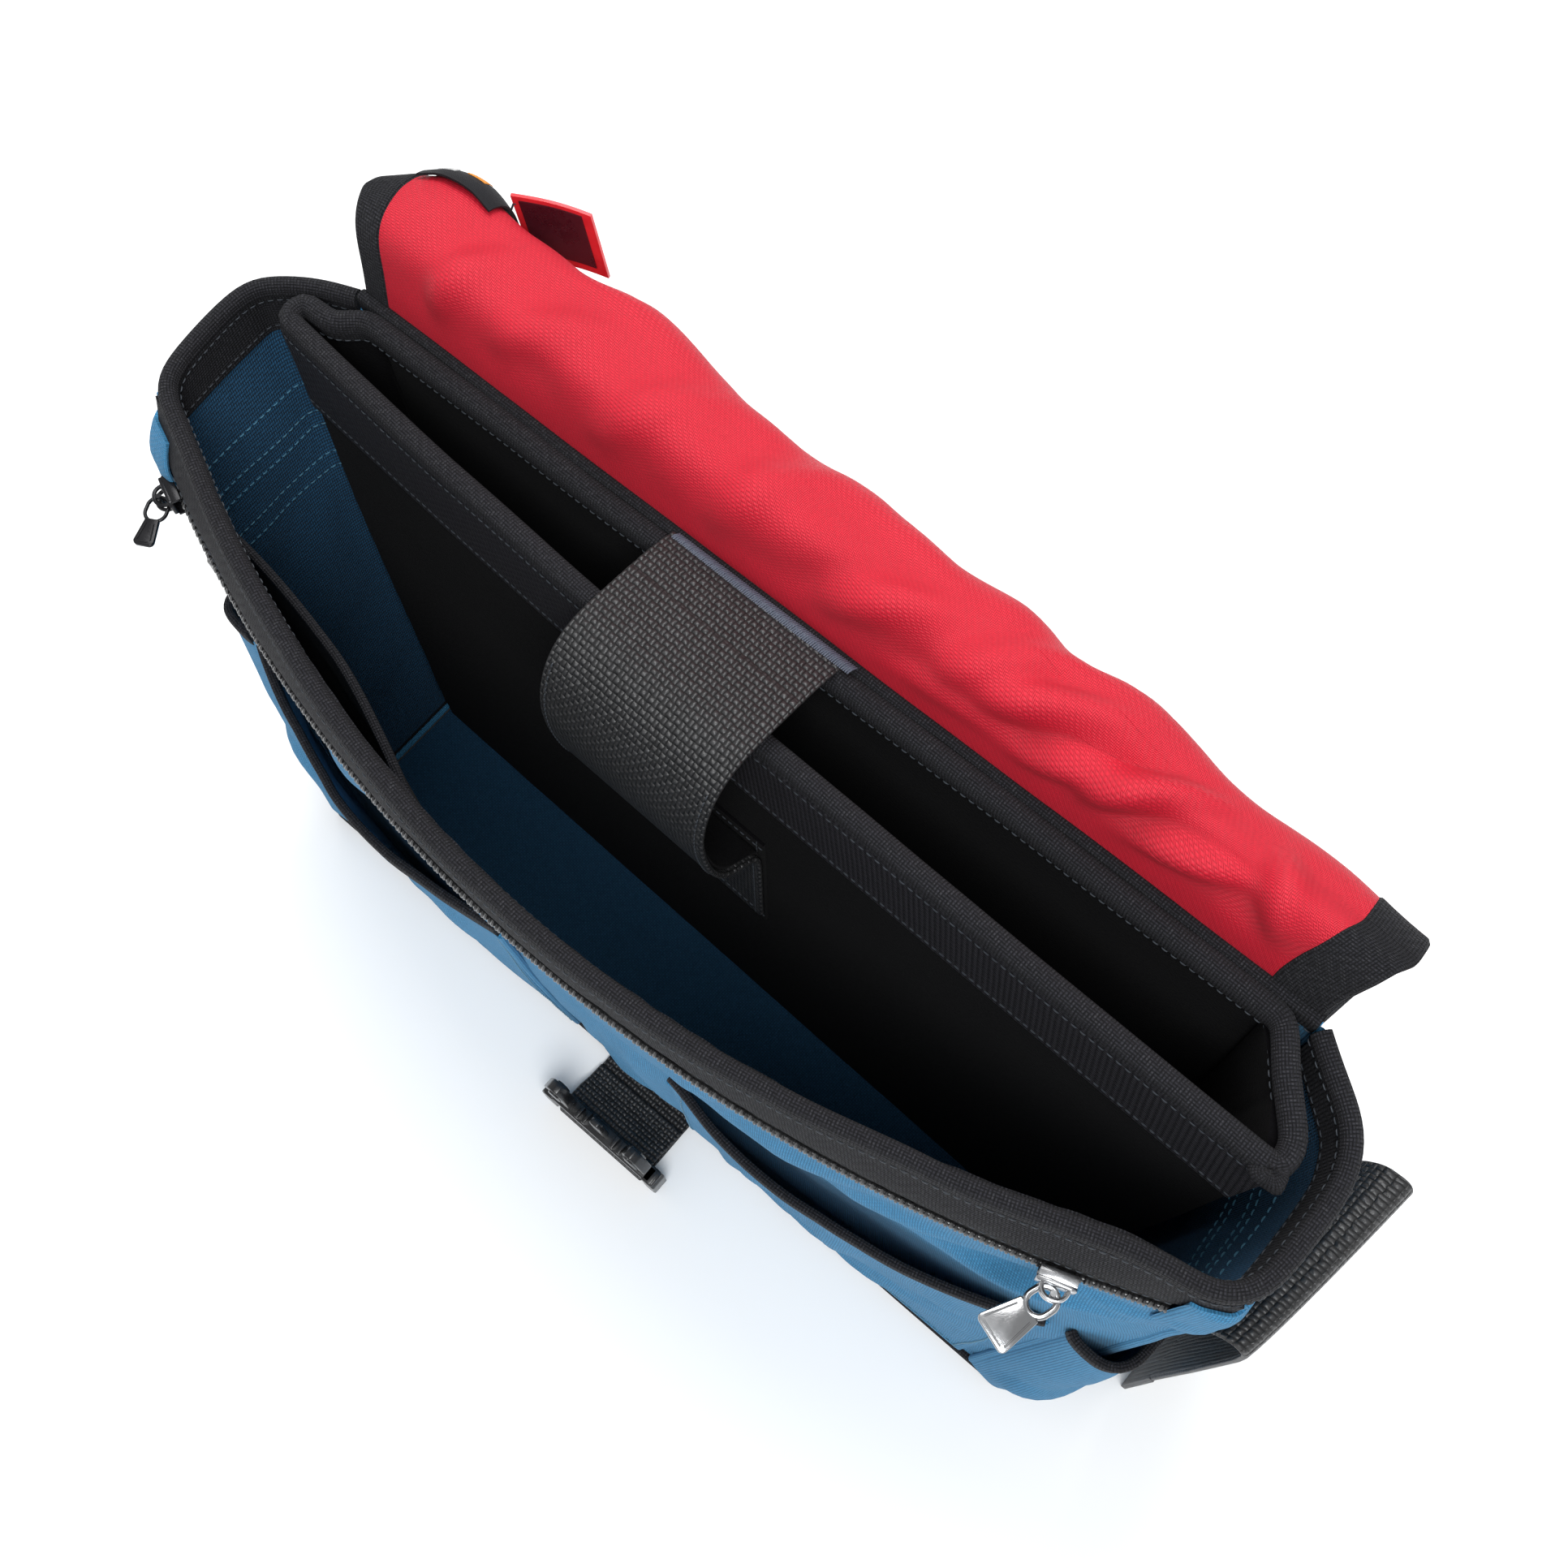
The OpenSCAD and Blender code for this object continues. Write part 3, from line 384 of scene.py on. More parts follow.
BLUE = (0.046, 0.205, 0.38)
# the outer blue darkened to about a third: painted shade for the cloth inside the bag
BLUE_IN_SHADE = (0.015, 0.062, 0.125)
RED = (0.50, 0.0075, 0.024)
INK = (0.0058, 0.0058, 0.0072)
M = {
    "blue": fabric("blue_cordura", BLUE, "plain", (0.0010, 0.0009), 1.3, 0.5, 0.85, 0.08, 0.0003, 0.1),
    # the inside cloths use that darkened blue, which is painted shade
    "navy": fabric("blue_shaded_inside", BLUE_IN_SHADE, "basket", (0.0010, 0.0017), 1.75, 0.3, 0.9, 0.04, 0.0006, 0.14),
    "navy_fine": fabric("blue_shaded_inside_fine", BLUE_IN_SHADE, "plain", (0.0011, 0.0010), 1.2, 0.45, 0.9, 0.04, 0.0003,
                        0.12),
    "red": fabric("red_twill", RED, "twill", (0.00085, 0.0006), 1.22, 0.66, 0.55, 0.03, 0.0002, 0.07, 0.35,
                  (1, 0.6, 0.6)),
    "tape": fabric("black_tape", INK, "herringbone", (0.0012, 0.0011), 3.6, 0.2, 0.8, 0.025, 0.0008, 0.18,
                   wear_and_glint=0.3),
    "band": fabric("black_band", (0.0055, 0.0052, 0.0065), "plain", (0.0022, 0.0017), 5.0, 0.1, 0.6, 0.02,
                   0.0012, 0.15, wear_and_glint=0.3),
    "web": fabric("black_webbing", (0.0085, 0.0085, 0.009), "plain", (0.0024, 0.0019), 3.4, 0.25, 0.45,
                  0.03, 0.0011, 0.25, 0.5, wear_and_glint=0.45),
    "zip_tape": fabric("zip_tape_weave", (0.006, 0.006, 0.007), "twill", (0.0006, 0.0006), 1.6, 0.5, 0.8,
                       0.03, 0.0002, 0.1),
    "lining": pile("brushed_lining", (0.0022, 0.0020, 0.0026), sheen=0.015),
    "loop": pile("loop_pile", (0.0028, 0.0026, 0.0032), 0.9, 700.0, 0.0008, 0.02),
    "thread": fabric("grey_thread", (0.03, 0.036, 0.045), "twill", (0.0003, 0.0003), 1.4, 0.6, 0.5, 0.05,
                     0.0001, 0.1, 0.5),
    "satin": fabric("grey_blue_thread", (0.07, 0.085, 0.12), "twill", (0.0003, 0.0003), 1.4, 0.6, 0.35,
                    0.05, 0.0001, 0.15, 0.6),
    "blue_thread": fabric("blue_thread", (0.05, 0.17, 0.26), "twill", (0.0003, 0.0003), 1.4, 0.6, 0.5, 0.1,
                          0.0001, 0.1, 0.5),
    "plastic": moulded("buckle_plastic", (0.009, 0.009, 0.010), 0.27),
    "coil": moulded("zip_coil_nylon", (0.022, 0.022, 0.023), 0.25, 0.0, 0.3, 0.00004, 0.6),
    "black_metal": moulded("zip_black_metal", (0.015, 0.015, 0.017), 0.28, 0.6),
    "chrome": moulded("zip_chrome", (0.40, 0.405, 0.415), 0.2, 1.0, 0.3, 0.00002),
    "board": moulded("board_fibre", (0.05, 0.05, 0.05), 0.7, 0.0, 0.15, 0.0001),
    "card": moulded("tag_card", (0.70, 0.02, 0.03), 0.35, 0.0, 0.2, 0.00003),
    "card_dark": moulded("tag_card_dark", (0.05, 0.006, 0.012), 0.3, 0.0, 0.2, 0.00003),
    "label": fabric("label_weave", (0.008, 0.008, 0.010), "plain", (0.0005, 0.0005), 1.7, 0.5, 0.7, 0.04,
                    0.0001, 0.1),
    "label_mark": fabric("label_stripe", (0.72, 0.26, 0.03), "plain", (0.0005, 0.0005), 1.2, 0.7, 0.7,
                         0.04, 0.0001, 0.1),
    "label_white": fabric("label_thread_white", (0.6, 0.6, 0.6), "plain", (0.0005, 0.0005), 1.2, 0.7, 0.7,
                          0.04, 0.0001, 0.1),
}


# ---------------------------------------------------------------- mesh makers
def mesh(name, verts, faces, coords, mat, sharp=40.0):
    me = bpy.data.meshes.new(name)
    me.from_pydata([tuple(p) for p in np.asarray(verts, float)], [],
                   [tuple(int(i) for i in f) for f in faces])
    flat = np.zeros((sum(len(f) for f in faces), 3), np.float32)
    if coords is not None:
        k = 0
        for c in coords:
            flat[k:k + len(c), :2] = c
            k += len(c)
    a = me.attributes.new("cloth", "FLOAT_VECTOR", "CORNER")
    a.data.foreach_set("vector", flat.ravel())
    me.update()
    for m in (mat if isinstance(mat, (list, tuple)) else [mat]):
        me.materials.append(M[m])
    ob = bpy.data.objects.new(name, me)
    bpy.context.scene.collection.objects.link(ob)
    me.polygons.foreach_set("use_smooth", [True] * len(me.polygons))
    me.set_sharp_from_angle(angle=math.radians(sharp))
    return ob


def grid_faces(n, m, wrap_i=False, wrap_j=False):
    ii = np.arange(n if wrap_i else n - 1)
    jj = np.arange(m if wrap_j else m - 1)
    i, j = np.meshgrid(ii, jj, indexing="ij")
    i, j = i.ravel(), j.ravel()
    i1, j1 = (i + 1), (j + 1)
    ids = np.stack([(i % n) * m + j % m, (i1 % n) * m + j % m, (i1 % n) * m + j1 % m,
                    (i % n) * m + j1 % m], 1)
    raw = np.stack([i, j, i1, j, i1, j1, i, j1], 1).reshape(-1, 4, 2)
    return ids, raw


def grid_normals(P):
    du = np.gradient(P, axis=0)
    dv = np.gradient(P, axis=1)
    return unit(np.cross(du, dv))


def shell(name, P, thick, mat, coords=None, flip=False, sharp=40.0, at=0.5):
    """A closed sheet of the given thickness about the grid P. Its front side is along du x dv."""
    P = np.asarray(P, float)
    n, m = P.shape[:2]
    N = grid_normals(P) * (-1 if flip else 1)
    t = np.broadcast_to(np.asarray(thick, float), (n, m))[..., None]
    A, B = P + N * t * at, P - N * t * (1 - at)
    if coords is None:
        u = np.concatenate([np.zeros((1, m)), np.cumsum(np.linalg.norm(np.diff(P, axis=0), axis=2), 0)])
        v = np.concatenate([np.zeros((n, 1)), np.cumsum(np.linalg.norm(np.diff(P, axis=1), axis=2), 1)], 1)
        coords = np.stack([u - u.mean(), v - v.mean()], -1)
    C = coords.reshape(-1, 2)
    ids, _ = grid_faces(n, m)
    k = n * m
    front = ids if not flip else ids[:, ::-1]
    back = (ids[:, ::-1] if not flip else ids) + k
    rim = ([(i, 0) for i in range(n)] + [(n - 1, j) for j in range(1, m)]
           + [(i, m - 1) for i in range(n - 2, -1, -1)] + [(0, j) for j in range(m - 2, 0, -1)])
    r = np.array([i * m + j for i, j in rim])
    r1 = np.roll(r, -1)
    side = np.stack([r, r1, r1 + k, r + k], 1)
    side = side[:, ::-1] if not flip else side
    faces = np.vstack([front, back, side])
    return mesh(name, np.vstack([A.reshape(-1, 3), B.reshape(-1, 3)]), faces, [C[f % k] for f in faces],
                mat, sharp)


def sweep(name, path, section, side, mat, closed=False, up=None, sharp=50.0):
    """A closed section (x along side, y along up) moved along a path."""
    P = np.asarray(path, float)
    n = len(P)
    if closed:
        T = unit(np.roll(P, -1, 0) - np.roll(P, 1, 0))
    else:
        T = unit(np.gradient(P, axis=0))
    S = np.broadcast_to(np.asarray(side, float), (n, 3)) if side is not None else None
    if up is not None:
        U = np.broadcast_to(np.asarray(up, float), (n, 3))
        if S is None:
            S = unit(np.cross(T, U))
    else:
        S = unit(S - (S * T).sum(1, keepdims=True) * T)
        U = unit(np.cross(S, T))
    sec = np.asarray(section, float)
    if sec.ndim == 2:
        sec = np.broadcast_to(sec, (n,) + sec.shape)
    m = sec.shape[1]
    V = (P[:, None, :] + sec[..., 0:1] * S[:, None, :] + sec[..., 1:2] * U[:, None, :])
    ids, raw = grid_faces(n, m, wrap_i=closed, wrap_j=True)
    d = along(np.vstack([P, P[:1]]) if closed else P)
    w = along(np.vstack([sec[0], sec[0][:1]]))
    coords = [np.stack([d[r[:, 0]], w[r[:, 1]]], 1) for r in raw]
    faces = [tuple(f) for f in ids]
    if not closed:
        faces.append(tuple(range(m - 1, -1, -1)))
        coords.append(sec[0][::-1])
        faces.append(tuple((n - 1) * m + i for i in range(m)))
        coords.append(sec[-1])
    ob = mesh(name, V.reshape(-1, 3), faces, coords, mat, sharp)
    check_outward(ob)
    return ob


def check_outward(ob):
    bm = bmesh.new()
    bm.from_mesh(ob.data)
    if bm.calc_volume(signed=True) < 0:
        bmesh.ops.reverse_faces(bm, faces=bm.faces[:])
        bm.to_mesh(ob.data)
    bm.free()


def round_rect(w, h, r, n=3, grow=0.0):
    """Points of a rounded rectangle w by h about the origin."""
    out = []
    r = min(r, w / 2 - 1e-6, h / 2 - 1e-6)
    for cx, cy, a0 in ((w / 2 - r, h / 2 - r, 0), (-w / 2 + r, h / 2 - r, 90),
                       (-w / 2 + r, -h / 2 + r, 180), (w / 2 - r, -h / 2 + r, 270)):
        for i in range(n + 1):
            a = math.radians(a0 + 90 * i / n)
            out.append((cx + (r + grow) * math.cos(a), cy + (r + grow) * math.sin(a)))
    return np.array(out)


def wide_section(w, t, across=14):
    """A flat webbing's section with rounded selvedges and points across its faces."""
    x = np.linspace(-w / 2 + t / 2, w / 2 - t / 2, across)
    a = np.radians(np.linspace(75, -75, 4))
    top = np.stack([x, np.full(across, t / 2)], 1)
    right = np.stack([w / 2 - t / 2 + t / 2 * np.cos(a), t / 2 * np.sin(a)], 1)
    return np.vstack([top, right, top[::-1] * [1, -1], right[::-1] * [-1, 1]])


def joined(name, parts, mat, sharp=35.0):
    """One mesh from lists of (vertices, faces)."""
    V, F, C, k = [], [], [], 0
    for v, f, c in parts:
        V.append(v)
        F += [tuple(int(i) + k for i in face) for face in f]
        C += c
        k += len(v)
    return mesh(name, np.vstack(V), F, C, mat, sharp)


def capsule(r, length, sides=6):
    """A stitch along X, lying on Z = 0."""
    xs = np.array([-0.5, -0.42, -0.2, 0.2, 0.42, 0.5]) * length
    rr = np.array([0.25, 0.8, 1.0, 1.0, 0.8, 0.25]) * r
    zz = np.array([-0.6, 0.1, 0.45, 0.45, 0.1, -0.6]) * r
    a = np.arange(sides) * 2 * math.pi / sides
    V = np.stack([np.repeat(xs, sides), np.outer(rr, np.cos(a)).ravel(),
                  np.outer(rr, np.sin(a)).ravel() + np.repeat(zz, sides)], 1)
    ids, _ = grid_faces(len(xs), sides, wrap_j=True)
    F = [tuple(f[::-1]) for f in ids] + [tuple(range(sides)), tuple(len(V) - 1 - i for i in range(sides))]
    return V, F


def stitches(name, runs, mat="thread", pitch=0.0034, length=0.0024, r=0.00032):
    """Rows of stitches. Each run is (points, normals) on the cloth's surface."""
    cv, cf = capsule(r, length)
    parts = []
    for pts, nor in runs:
        P = np.asarray(pts, float)
        Nn = np.broadcast_to(np.asarray(nor, float), P.shape)
        d = along(P)
        count = int(d[-1] / pitch)
        if count < 1:
            continue
        at = (np.arange(count) + 0.5) * d[-1] / count
        c = np.stack([np.interp(at, d, P[:, k]) for k in range(3)], 1)
        c1 = np.stack([np.interp(at + 0.0008, d, P[:, k]) for k in range(3)], 1)
        c0 = np.stack([np.interp(at - 0.0008, d, P[:, k]) for k in range(3)], 1)
        nn = unit(np.stack([np.interp(at, d, Nn[:, k]) for k in range(3)], 1))
        X = unit(c1 - c0)
        Y = unit(np.cross(nn, X))
        Z = np.cross(X, Y)
        for i in range(count):
            V = c[i] + cv[:, :1] * X[i] + cv[:, 1:2] * Y[i] + cv[:, 2:] * Z[i]
            parts.append((V, cf, [cv[list(f), :2] for f in cf]))
    return joined(name, parts, mat, 60.0)


def solid(points, depth, bevel=0.0006, segments=2):
    """An extruded outline in XY, from z = 0 to depth, with its edges rounded: (vertices, faces)."""
    bm = bmesh.new()
    vs = [bm.verts.new((x, y, 0)) for x, y in points]
    f = bm.faces.new(vs)
    r = bmesh.ops.extrude_face_region(bm, geom=[f])
    bmesh.ops.translate(bm, vec=(0, 0, depth), verts=[g for g in r["geom"]
                                                      if isinstance(g, bmesh.types.BMVert)])
    bmesh.ops.recalc_face_normals(bm, faces=bm.faces[:])
    if bevel > 0:
        edges = [e for e in bm.edges if len(e.link_faces) == 2 and e.calc_face_angle(0) > math.radians(25)]
        bmesh.ops.bevel(bm, geom=edges, offset=bevel, segments=segments, profile=0.5, affect="EDGES",
                        clamp_overlap=True)
    bm.verts.index_update()
    V = np.array([v.co[:] for v in bm.verts])
    F = [tuple(v.index for v in face.verts) for face in bm.faces]
    bm.free()
    return V, F


def with_coords(V, F):
    """A part with plain material coordinates taken from X and Y."""
    return V, F, [V[list(f), :2] for f in F]


def placed(part, matrix):
    V, F = part[0], part[1]
    A = np.array(matrix, float)
    V = V @ A[:3, :3].T + A[:3, 3]
    if np.linalg.det(A[:3, :3]) < 0:
        F = [f[::-1] for f in F]
    return with_coords(V, F)


def moulding(frame_matrix, bevel):
    """A list of parts, and a call that adds an extruded outline to it between two depths."""
    parts = []

    def add(points, low, high, edge=bevel):
        lift = np.eye(4)
        lift[2, 3] = low
        parts.append(placed(solid(points, high - low, edge, 3), frame_matrix @ lift))
    return parts, add


def mirrored(points, k):
    """The outline on the side k, its points still in the same turning order."""
    pts = [(k * x, y) for x, y in points]
    return pts if k > 0 else pts[::-1]


def ringed(r_path, r_wire, n=40, m=10, squash=1.0, straight=0.0):
    """A ring of wire in XY about the origin, longer along Y by straight."""
    a = np.arange(n) * 2 * math.pi / n
    P = np.stack([r_path * np.cos(a), r_path * squash * np.sin(a) + np.sign(np.sin(a)) * straight / 2,
                  np.zeros(n)], 1)
    T = unit(np.roll(P, -1, 0) - np.roll(P, 1, 0))
    S = np.cross(T, [0, 0, 1])
    b = np.arange(m) * 2 * math.pi / m
    V = P[:, None] + r_wire * (np.cos(b)[None, :, None] * S[:, None]
                               + np.sin(b)[None, :, None] * np.array([0, 0, 1.0]))
    ids, _ = grid_faces(n, m, True, True)
    return V.reshape(-1, 3), [tuple(f) for f in ids]


def tube(points, r, m=8):
    P = np.asarray(points, float)
    T = unit(np.gradient(P, axis=0))
    ref = np.array([0, 0, 1.0]) if abs(T[:, 2]).max() < 0.9 else np.array([1.0, 0, 0])
    S = unit(np.cross(T, ref))
    U = np.cross(S, T)
    b = np.arange(m) * 2 * math.pi / m
    rr = np.broadcast_to(np.asarray(r, float), (len(P),))
    V = P[:, None] + rr[:, None, None] * (np.cos(b)[None, :, None] * S[:, None]
                                          + np.sin(b)[None, :, None] * U[:, None])
    ids, _ = grid_faces(len(P), m, False, True)
    k = (len(P) - 1) * m
    return V.reshape(-1, 3), [tuple(f) for f in ids] + [tuple(range(m - 1, -1, -1)),
                                                        tuple(k + i for i in range(m))]


def put(ob, body, slot, *nodes):
    if nodes:
        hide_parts(*nodes)
    if body:
        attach(ob, body)
    return ob


def as_sheet(P):
    """Takes a cloth piece's grid as an array and does nothing more with it."""
    P = np.asarray(P, float)


# ---------------------------------------------------------------- camera first
def look(location, azimuth, elevation, roll, lens):
    a, e, r = (math.radians(k) for k in (azimuth, elevation, roll))
    back = Vector((math.sin(a) * math.cos(e), -math.cos(a) * math.cos(e), math.sin(e)))
    right = (-back).cross(Vector((0, 0, 1))).normalized()
    up = right.cross(-back)
    r2 = right * math.cos(r) + up * math.sin(r)
    u2 = -right * math.sin(r) + up * math.cos(r)
    cam = bpy.data.objects.new("camera", bpy.data.cameras.new("camera"))
    bpy.context.scene.collection.objects.link(cam)
    m = Matrix((r2, u2, back)).transposed().to_4x4()
    m.translation = location
    cam.matrix_world = m
    cam.data.sensor_width = 36.0
    cam.data.lens = lens
    cam.data.clip_start, cam.data.clip_end = 0.01, 20.0
    bpy.context.scene.camera = cam
    return cam


look((0.172, -0.1275, 0.807), 44.8, 69.0, -4.5, 40.47)


# ---------------------------------------------------------------- the front wall
def sag(s, z):
    """How far the soft front wall stands off its plain shape."""
    s, z = np.broadcast_arrays(np.asarray(s, float), np.asarray(z, float))
    x = s * 0.23
    w = fade(z, 0.0, 0.05) * (1 - fade(z, 0.20, 0.238))
    side = 1 - fade(np.abs(s), 0.9, 1.0)
    soft = 0.0034 * grain(x * 9, z * 12, 1.7, 3) + 0.0014 * grain(x * 26, z * 40, 4.1, 4)
    return w * side * soft


def drape(s, z):
    """Small creases of the outer cloth only, between the pockets' tops and the zip."""
    x = s * 0.23
    w = fade(z, 0.186, 0.200) * (1 - fade(z, 0.236, 0.245)) * (1 - fade(np.abs(s), 0.93, 1.0))
    lines = [(0.19, 0.222, 12, 0.10, 0.005, 0.0026), (0.17, 0.212, 16, 0.12, 0.006, 0.0024),
             (0.205, 0.232, 8, 0.07, 0.004, 0.0018), (0.13, 0.214, 24, 0.10, 0.006, 0.0020),
             (0.09, 0.220, 30, 0.10, 0.007, 0.0022), (0.04, 0.218, 34, 0.10, 0.007, 0.0020),
             (-0.02, 0.218, 38, 0.08, 0.007, 0.0018), (-0.11, 0.220, 40, 0.09, 0.008, 0.0016)]
    fan = [(0.12, 0.14, 70, 0.12, 0.008, 0.0030), (0.02, 0.12, 95, 0.16, 0.010, 0.0028),
           (-0.01, 0.10, 80, 0.12, 0.008, 0.0022),
           (0.03, 0.17, 60, 0.10, 0.007, 0.0026), (-0.03, 0.17, 115, 0.10, 0.007, 0.0024),
           (0.005, 0.05, 20, 0.07, 0.006, 0.0020)]
    low = fade(z, 0.01, 0.04) * (1 - fade(z, 0.2, 0.24)) * (1 - fade(np.abs(x), 0.033, 0.043))
    clear = 1 - 0.9 * fade(x, -0.05, -0.03) * (1 - fade(x, 0.04, 0.06)) * fade(z, 0.12, 0.15)
    w = w * clear
    low = low * clear
    return w * (1.5 * ridges(x, z, lines) + 0.0007 * grain(x * 60, z * 50, 0.3, 9)
                + 0.0006) + low * np.abs(ridges(x, z, fan))


def seam_pull(s, z):
    """Puckers just above the base seam."""
    w = fade(z, 0.0, 0.004) * (1 - fade(z, 0.03, 0.06))
    return w * 0.0012 * grain(s * 0.23 * 70, z * 30, 0.8, 21)


s_ = np.linspace(-1, 1, 190)
z_ = np.concatenate([np.linspace(0.002, 0.18, 48), np.linspace(0.183, WINDOW_LOW, 34)])
S, Z = np.meshgrid(s_, z_, indexing="ij")
P = front_at(S, Z, 0.00075 + sag(S, Z) + drape(S, Z) + seam_pull(S, Z))
front_cloth = shell("front_cloth", P, 0.0013, "blue")
put(front_cloth, "bag", "blue_cloth", "front_panel_lower_left", "front_panel_lower_right")
as_sheet(P)

z2 = np.linspace(WINDOW_HIGH, WALL_TOP + 0.001, 12)
S, Z = np.meshgrid(s_, z2, indexing="ij")
P = front_at(S, Z, 0.00075 + 0.0004 * grain(S * 14, Z * 60, 0.4, 5))
front_top = shell("front_top_cloth", P, 0.0013, "tape")
put(front_top, "bag", "blue_cloth", "front_panel_upper")
as_sheet(P)

z3 = np.linspace(BASE_TOP - 0.001, WALL_TOP + 0.001, 80)
S, Z = np.meshgrid(np.linspace(-0.985, 0.985, 170), z3, indexing="ij")
creases_in = [(-0.12, 0.06, 62, 0.12, 0.009, 0.004), (0.02, 0.07, 75, 0.13, 0.010, 0.0035),
              (0.10, 0.06, 60, 0.11, 0.009, 0.004), (-0.03, 0.03, 20, 0.12, 0.008, 0.003),
              (0.15, 0.10, 70, 0.10, 0.008, 0.003)]
inward = ridges(S * 0.22, Z, creases_in) + 0.0012 * grain(S * 7, Z * 22, 0.2, 11)
inward *= fade(Z, 0.0, 0.03) * (1 - fade(Z, 0.2, 0.27))
P = front_at(S, Z, -0.00275 + sag(S, Z) - np.abs(inward))
# the front wall's inside in the darkened blue: painted shade
front_lining = shell("front_lining", P, 0.0012, "navy_fine")
put(front_lining, "bag", "blue_cloth", "front_inner_wall_left", "front_inner_wall_right")
as_sheet(P)


# ---------------------------------------------------------------- the ends
def end_soft(t, z, seed):
    """How far an end's soft cloth stands off its plain shape."""
    w = fade(z, 0.0, 0.05) * (1 - fade(z, 0.22, 0.27)) * fade(t, 0.0, 0.15) * (1 - fade(t, 0.85, 1.0))
    return w * (0.0022 * grain(t * 1.7, z * 11, 2.2, seed) + 0.0008 * grain(t * 5, z * 32, 0.1, seed + 1))


for sign, side in ((1, "right"), (-1, "left")):
    seed = 40 if sign > 0 else 60
    T, Z = np.meshgrid(np.linspace(0, 1, 70), np.linspace(0.002, WALL_TOP + 0.001, 90), indexing="ij")
    P = end_at(T, Z, 0.00075 + end_soft(T, Z, seed), sign)
    ob = shell(f"end_cloth_{side}", P, 0.0013, "blue", flip=sign < 0)
    put(ob, "bag", "blue_cloth", f"end_panel_{side}")
    as_sheet(P)
    # an inner facing shows the uncoated back of the cloth; its darker blue is painted shade
    T, Z = np.meshgrid(np.linspace(0.015, 0.97, 60), np.linspace(BASE_TOP, WALL_TOP, 80), indexing="ij")
    P = end_at(T, Z, -0.0009 + end_soft(T, Z, seed), sign)
    ob = shell(f"end_facing_{side}", P, 0.0007, "navy", flip=sign < 0)
    put(ob, "bag", "blue_lining")
    as_sheet(P)
    runs = []
    for k, zz in enumerate((0.238, 0.222, 0.214, 0.198, 0.190)):
        tt = np.linspace(0.10, 0.80, 40)
        q = end_at(tt, np.full(40, zz), -0.0014 + end_soft(tt, np.full(40, zz), seed), sign)
        nn = end_at(tt, np.full(40, zz), -0.01, sign) - end_at(tt, np.full(40, zz), 0.0, sign)
        runs.append((q, unit(nn)))
    for tt in (0.10, 0.80):
        zz = np.linspace(0.190, 0.238, 20)
        q = end_at(np.full(20, tt), zz, -0.0014 + end_soft(np.full(20, tt), zz, seed), sign)
        nn = end_at(np.full(20, tt), zz, -0.01, sign) - end_at(np.full(20, tt), zz, 0.0, sign)
        runs.append((q, unit(nn)))
    put(stitches(f"end_box_stitch_{side}", runs, "blue_thread"), "bag", "blue_cloth")
    # rolled seam down the front corner and round the base
    zz = np.linspace(0.001, 0.257, 60)
    c0 = front_at(np.full(60, 1.0 * sign), zz, 0.0015)
    c1 = end_at(np.zeros(60), zz, 0.0015, sign)
    mid = (c0 + c1) / 2
    mid = mid + 0.0006 * np.stack([grain(zz * 60, 0.5, 0.5, 70 + sign),
                                   grain(zz * 60, 3.5, 0.5, 71 + sign), 0 * zz], 1)
    sec = round_rect(0.0036, 0.0030, 0.0014, 3)
    ob = sweep(f"corner_seam_{side}", mid, sec, (1, 0, 0), "blue")
    put(ob, "bag", "blue_cloth")
    zz = np.linspace(0.001, WALL_TOP, 50)
    b0 = end_at(np.full(50, 0.995), zz, 0.0016, sign)
    ob = sweep(f"back_seam_{side}", b0 + [0, -0.0004, 0], round_rect(0.0048, 0.0042, 0.002, 3), (1, 0, 0),
               "blue")
    put(ob, "bag", "blue_cloth")

# ---------------------------------------------------------------- back and base
X, Z = np.meshgrid(np.linspace(-HALF_BASE, HALF_BASE, 120), np.linspace(0.002, WALL_TOP + 0.007, 70),
                   indexing="ij")
bulge = 0.0030 * grain(X * 14, Z * 16, 0.6, 90) * fade(Z, 0, 0.04) * (1 - fade(Z, 0.2, 0.28))
P = np.stack([X, HALF_DEPTH + 0.00085 + np.abs(bulge), Z], -1)
ob = shell("back_cloth", P, 0.0013, "blue", flip=True)
put(ob, "bag", "blue_cloth", "back_panel")
as_sheet(P)

w, d = HALF_BASE + 0.0013, HALF_DEPTH + 0.0013
X, Y = np.meshgrid(np.linspace(-w, w, 90), np.linspace(-d, d, 34), indexing="ij")
P = np.stack([X, Y, 0.0011 + 0.0004 * np.abs(grain(X * 25, Y * 25, 0.4, 95))
              * fade(np.minimum(w - abs(X), d - abs(Y)), 0, 0.02)], -1)
ob = shell("base_cloth", P, 0.0016, "blue")
put(ob, "bag", "blue_cloth", "base_panel")
as_sheet(P)
loop = run_of([(-w, -d, 0.0026), (w, -d, 0.0026), (w, d, 0.0026), (-w, d, 0.0026)], 0.004, 0.003, True)
ob = sweep("base_seam", loop, round_rect(0.0042, 0.0044, 0.002, 3), None, "tape", closed=True, up=(0, 0, 1))
put(ob, "bag", "black_tape")

X, Y = np.meshgrid(np.linspace(-HALF_BASE + 0.006, HALF_BASE - 0.006, 130),
                   np.linspace(-HALF_DEPTH + 0.006, HALF_DEPTH - 0.007, 40), indexing="ij")
lift = 0.0016 * np.abs(grain(X * 18, Y * 18, 1.1, 97)) + np.abs(ridges(X, Y, [
    (-0.05, -0.03, 10, 0.12, 0.006, 0.002), (0.06, -0.02, -15, 0.10, 0.006, 0.0022),
    (0.12, -0.03, 25, 0.08, 0.006, 0.002)]))
P = np.stack([X, Y, 0.0047 + lift], -1)
# the base lining in the darkened blue: painted shade
ob = shell("base_lining_cloth", P, 0.0008, "navy_fine")
put(ob, "bag", "blue_lining", "base_lining")
as_sheet(P)
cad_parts["base_board"].data.materials.clear()
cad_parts["base_board"].data.materials.append(M["board"])


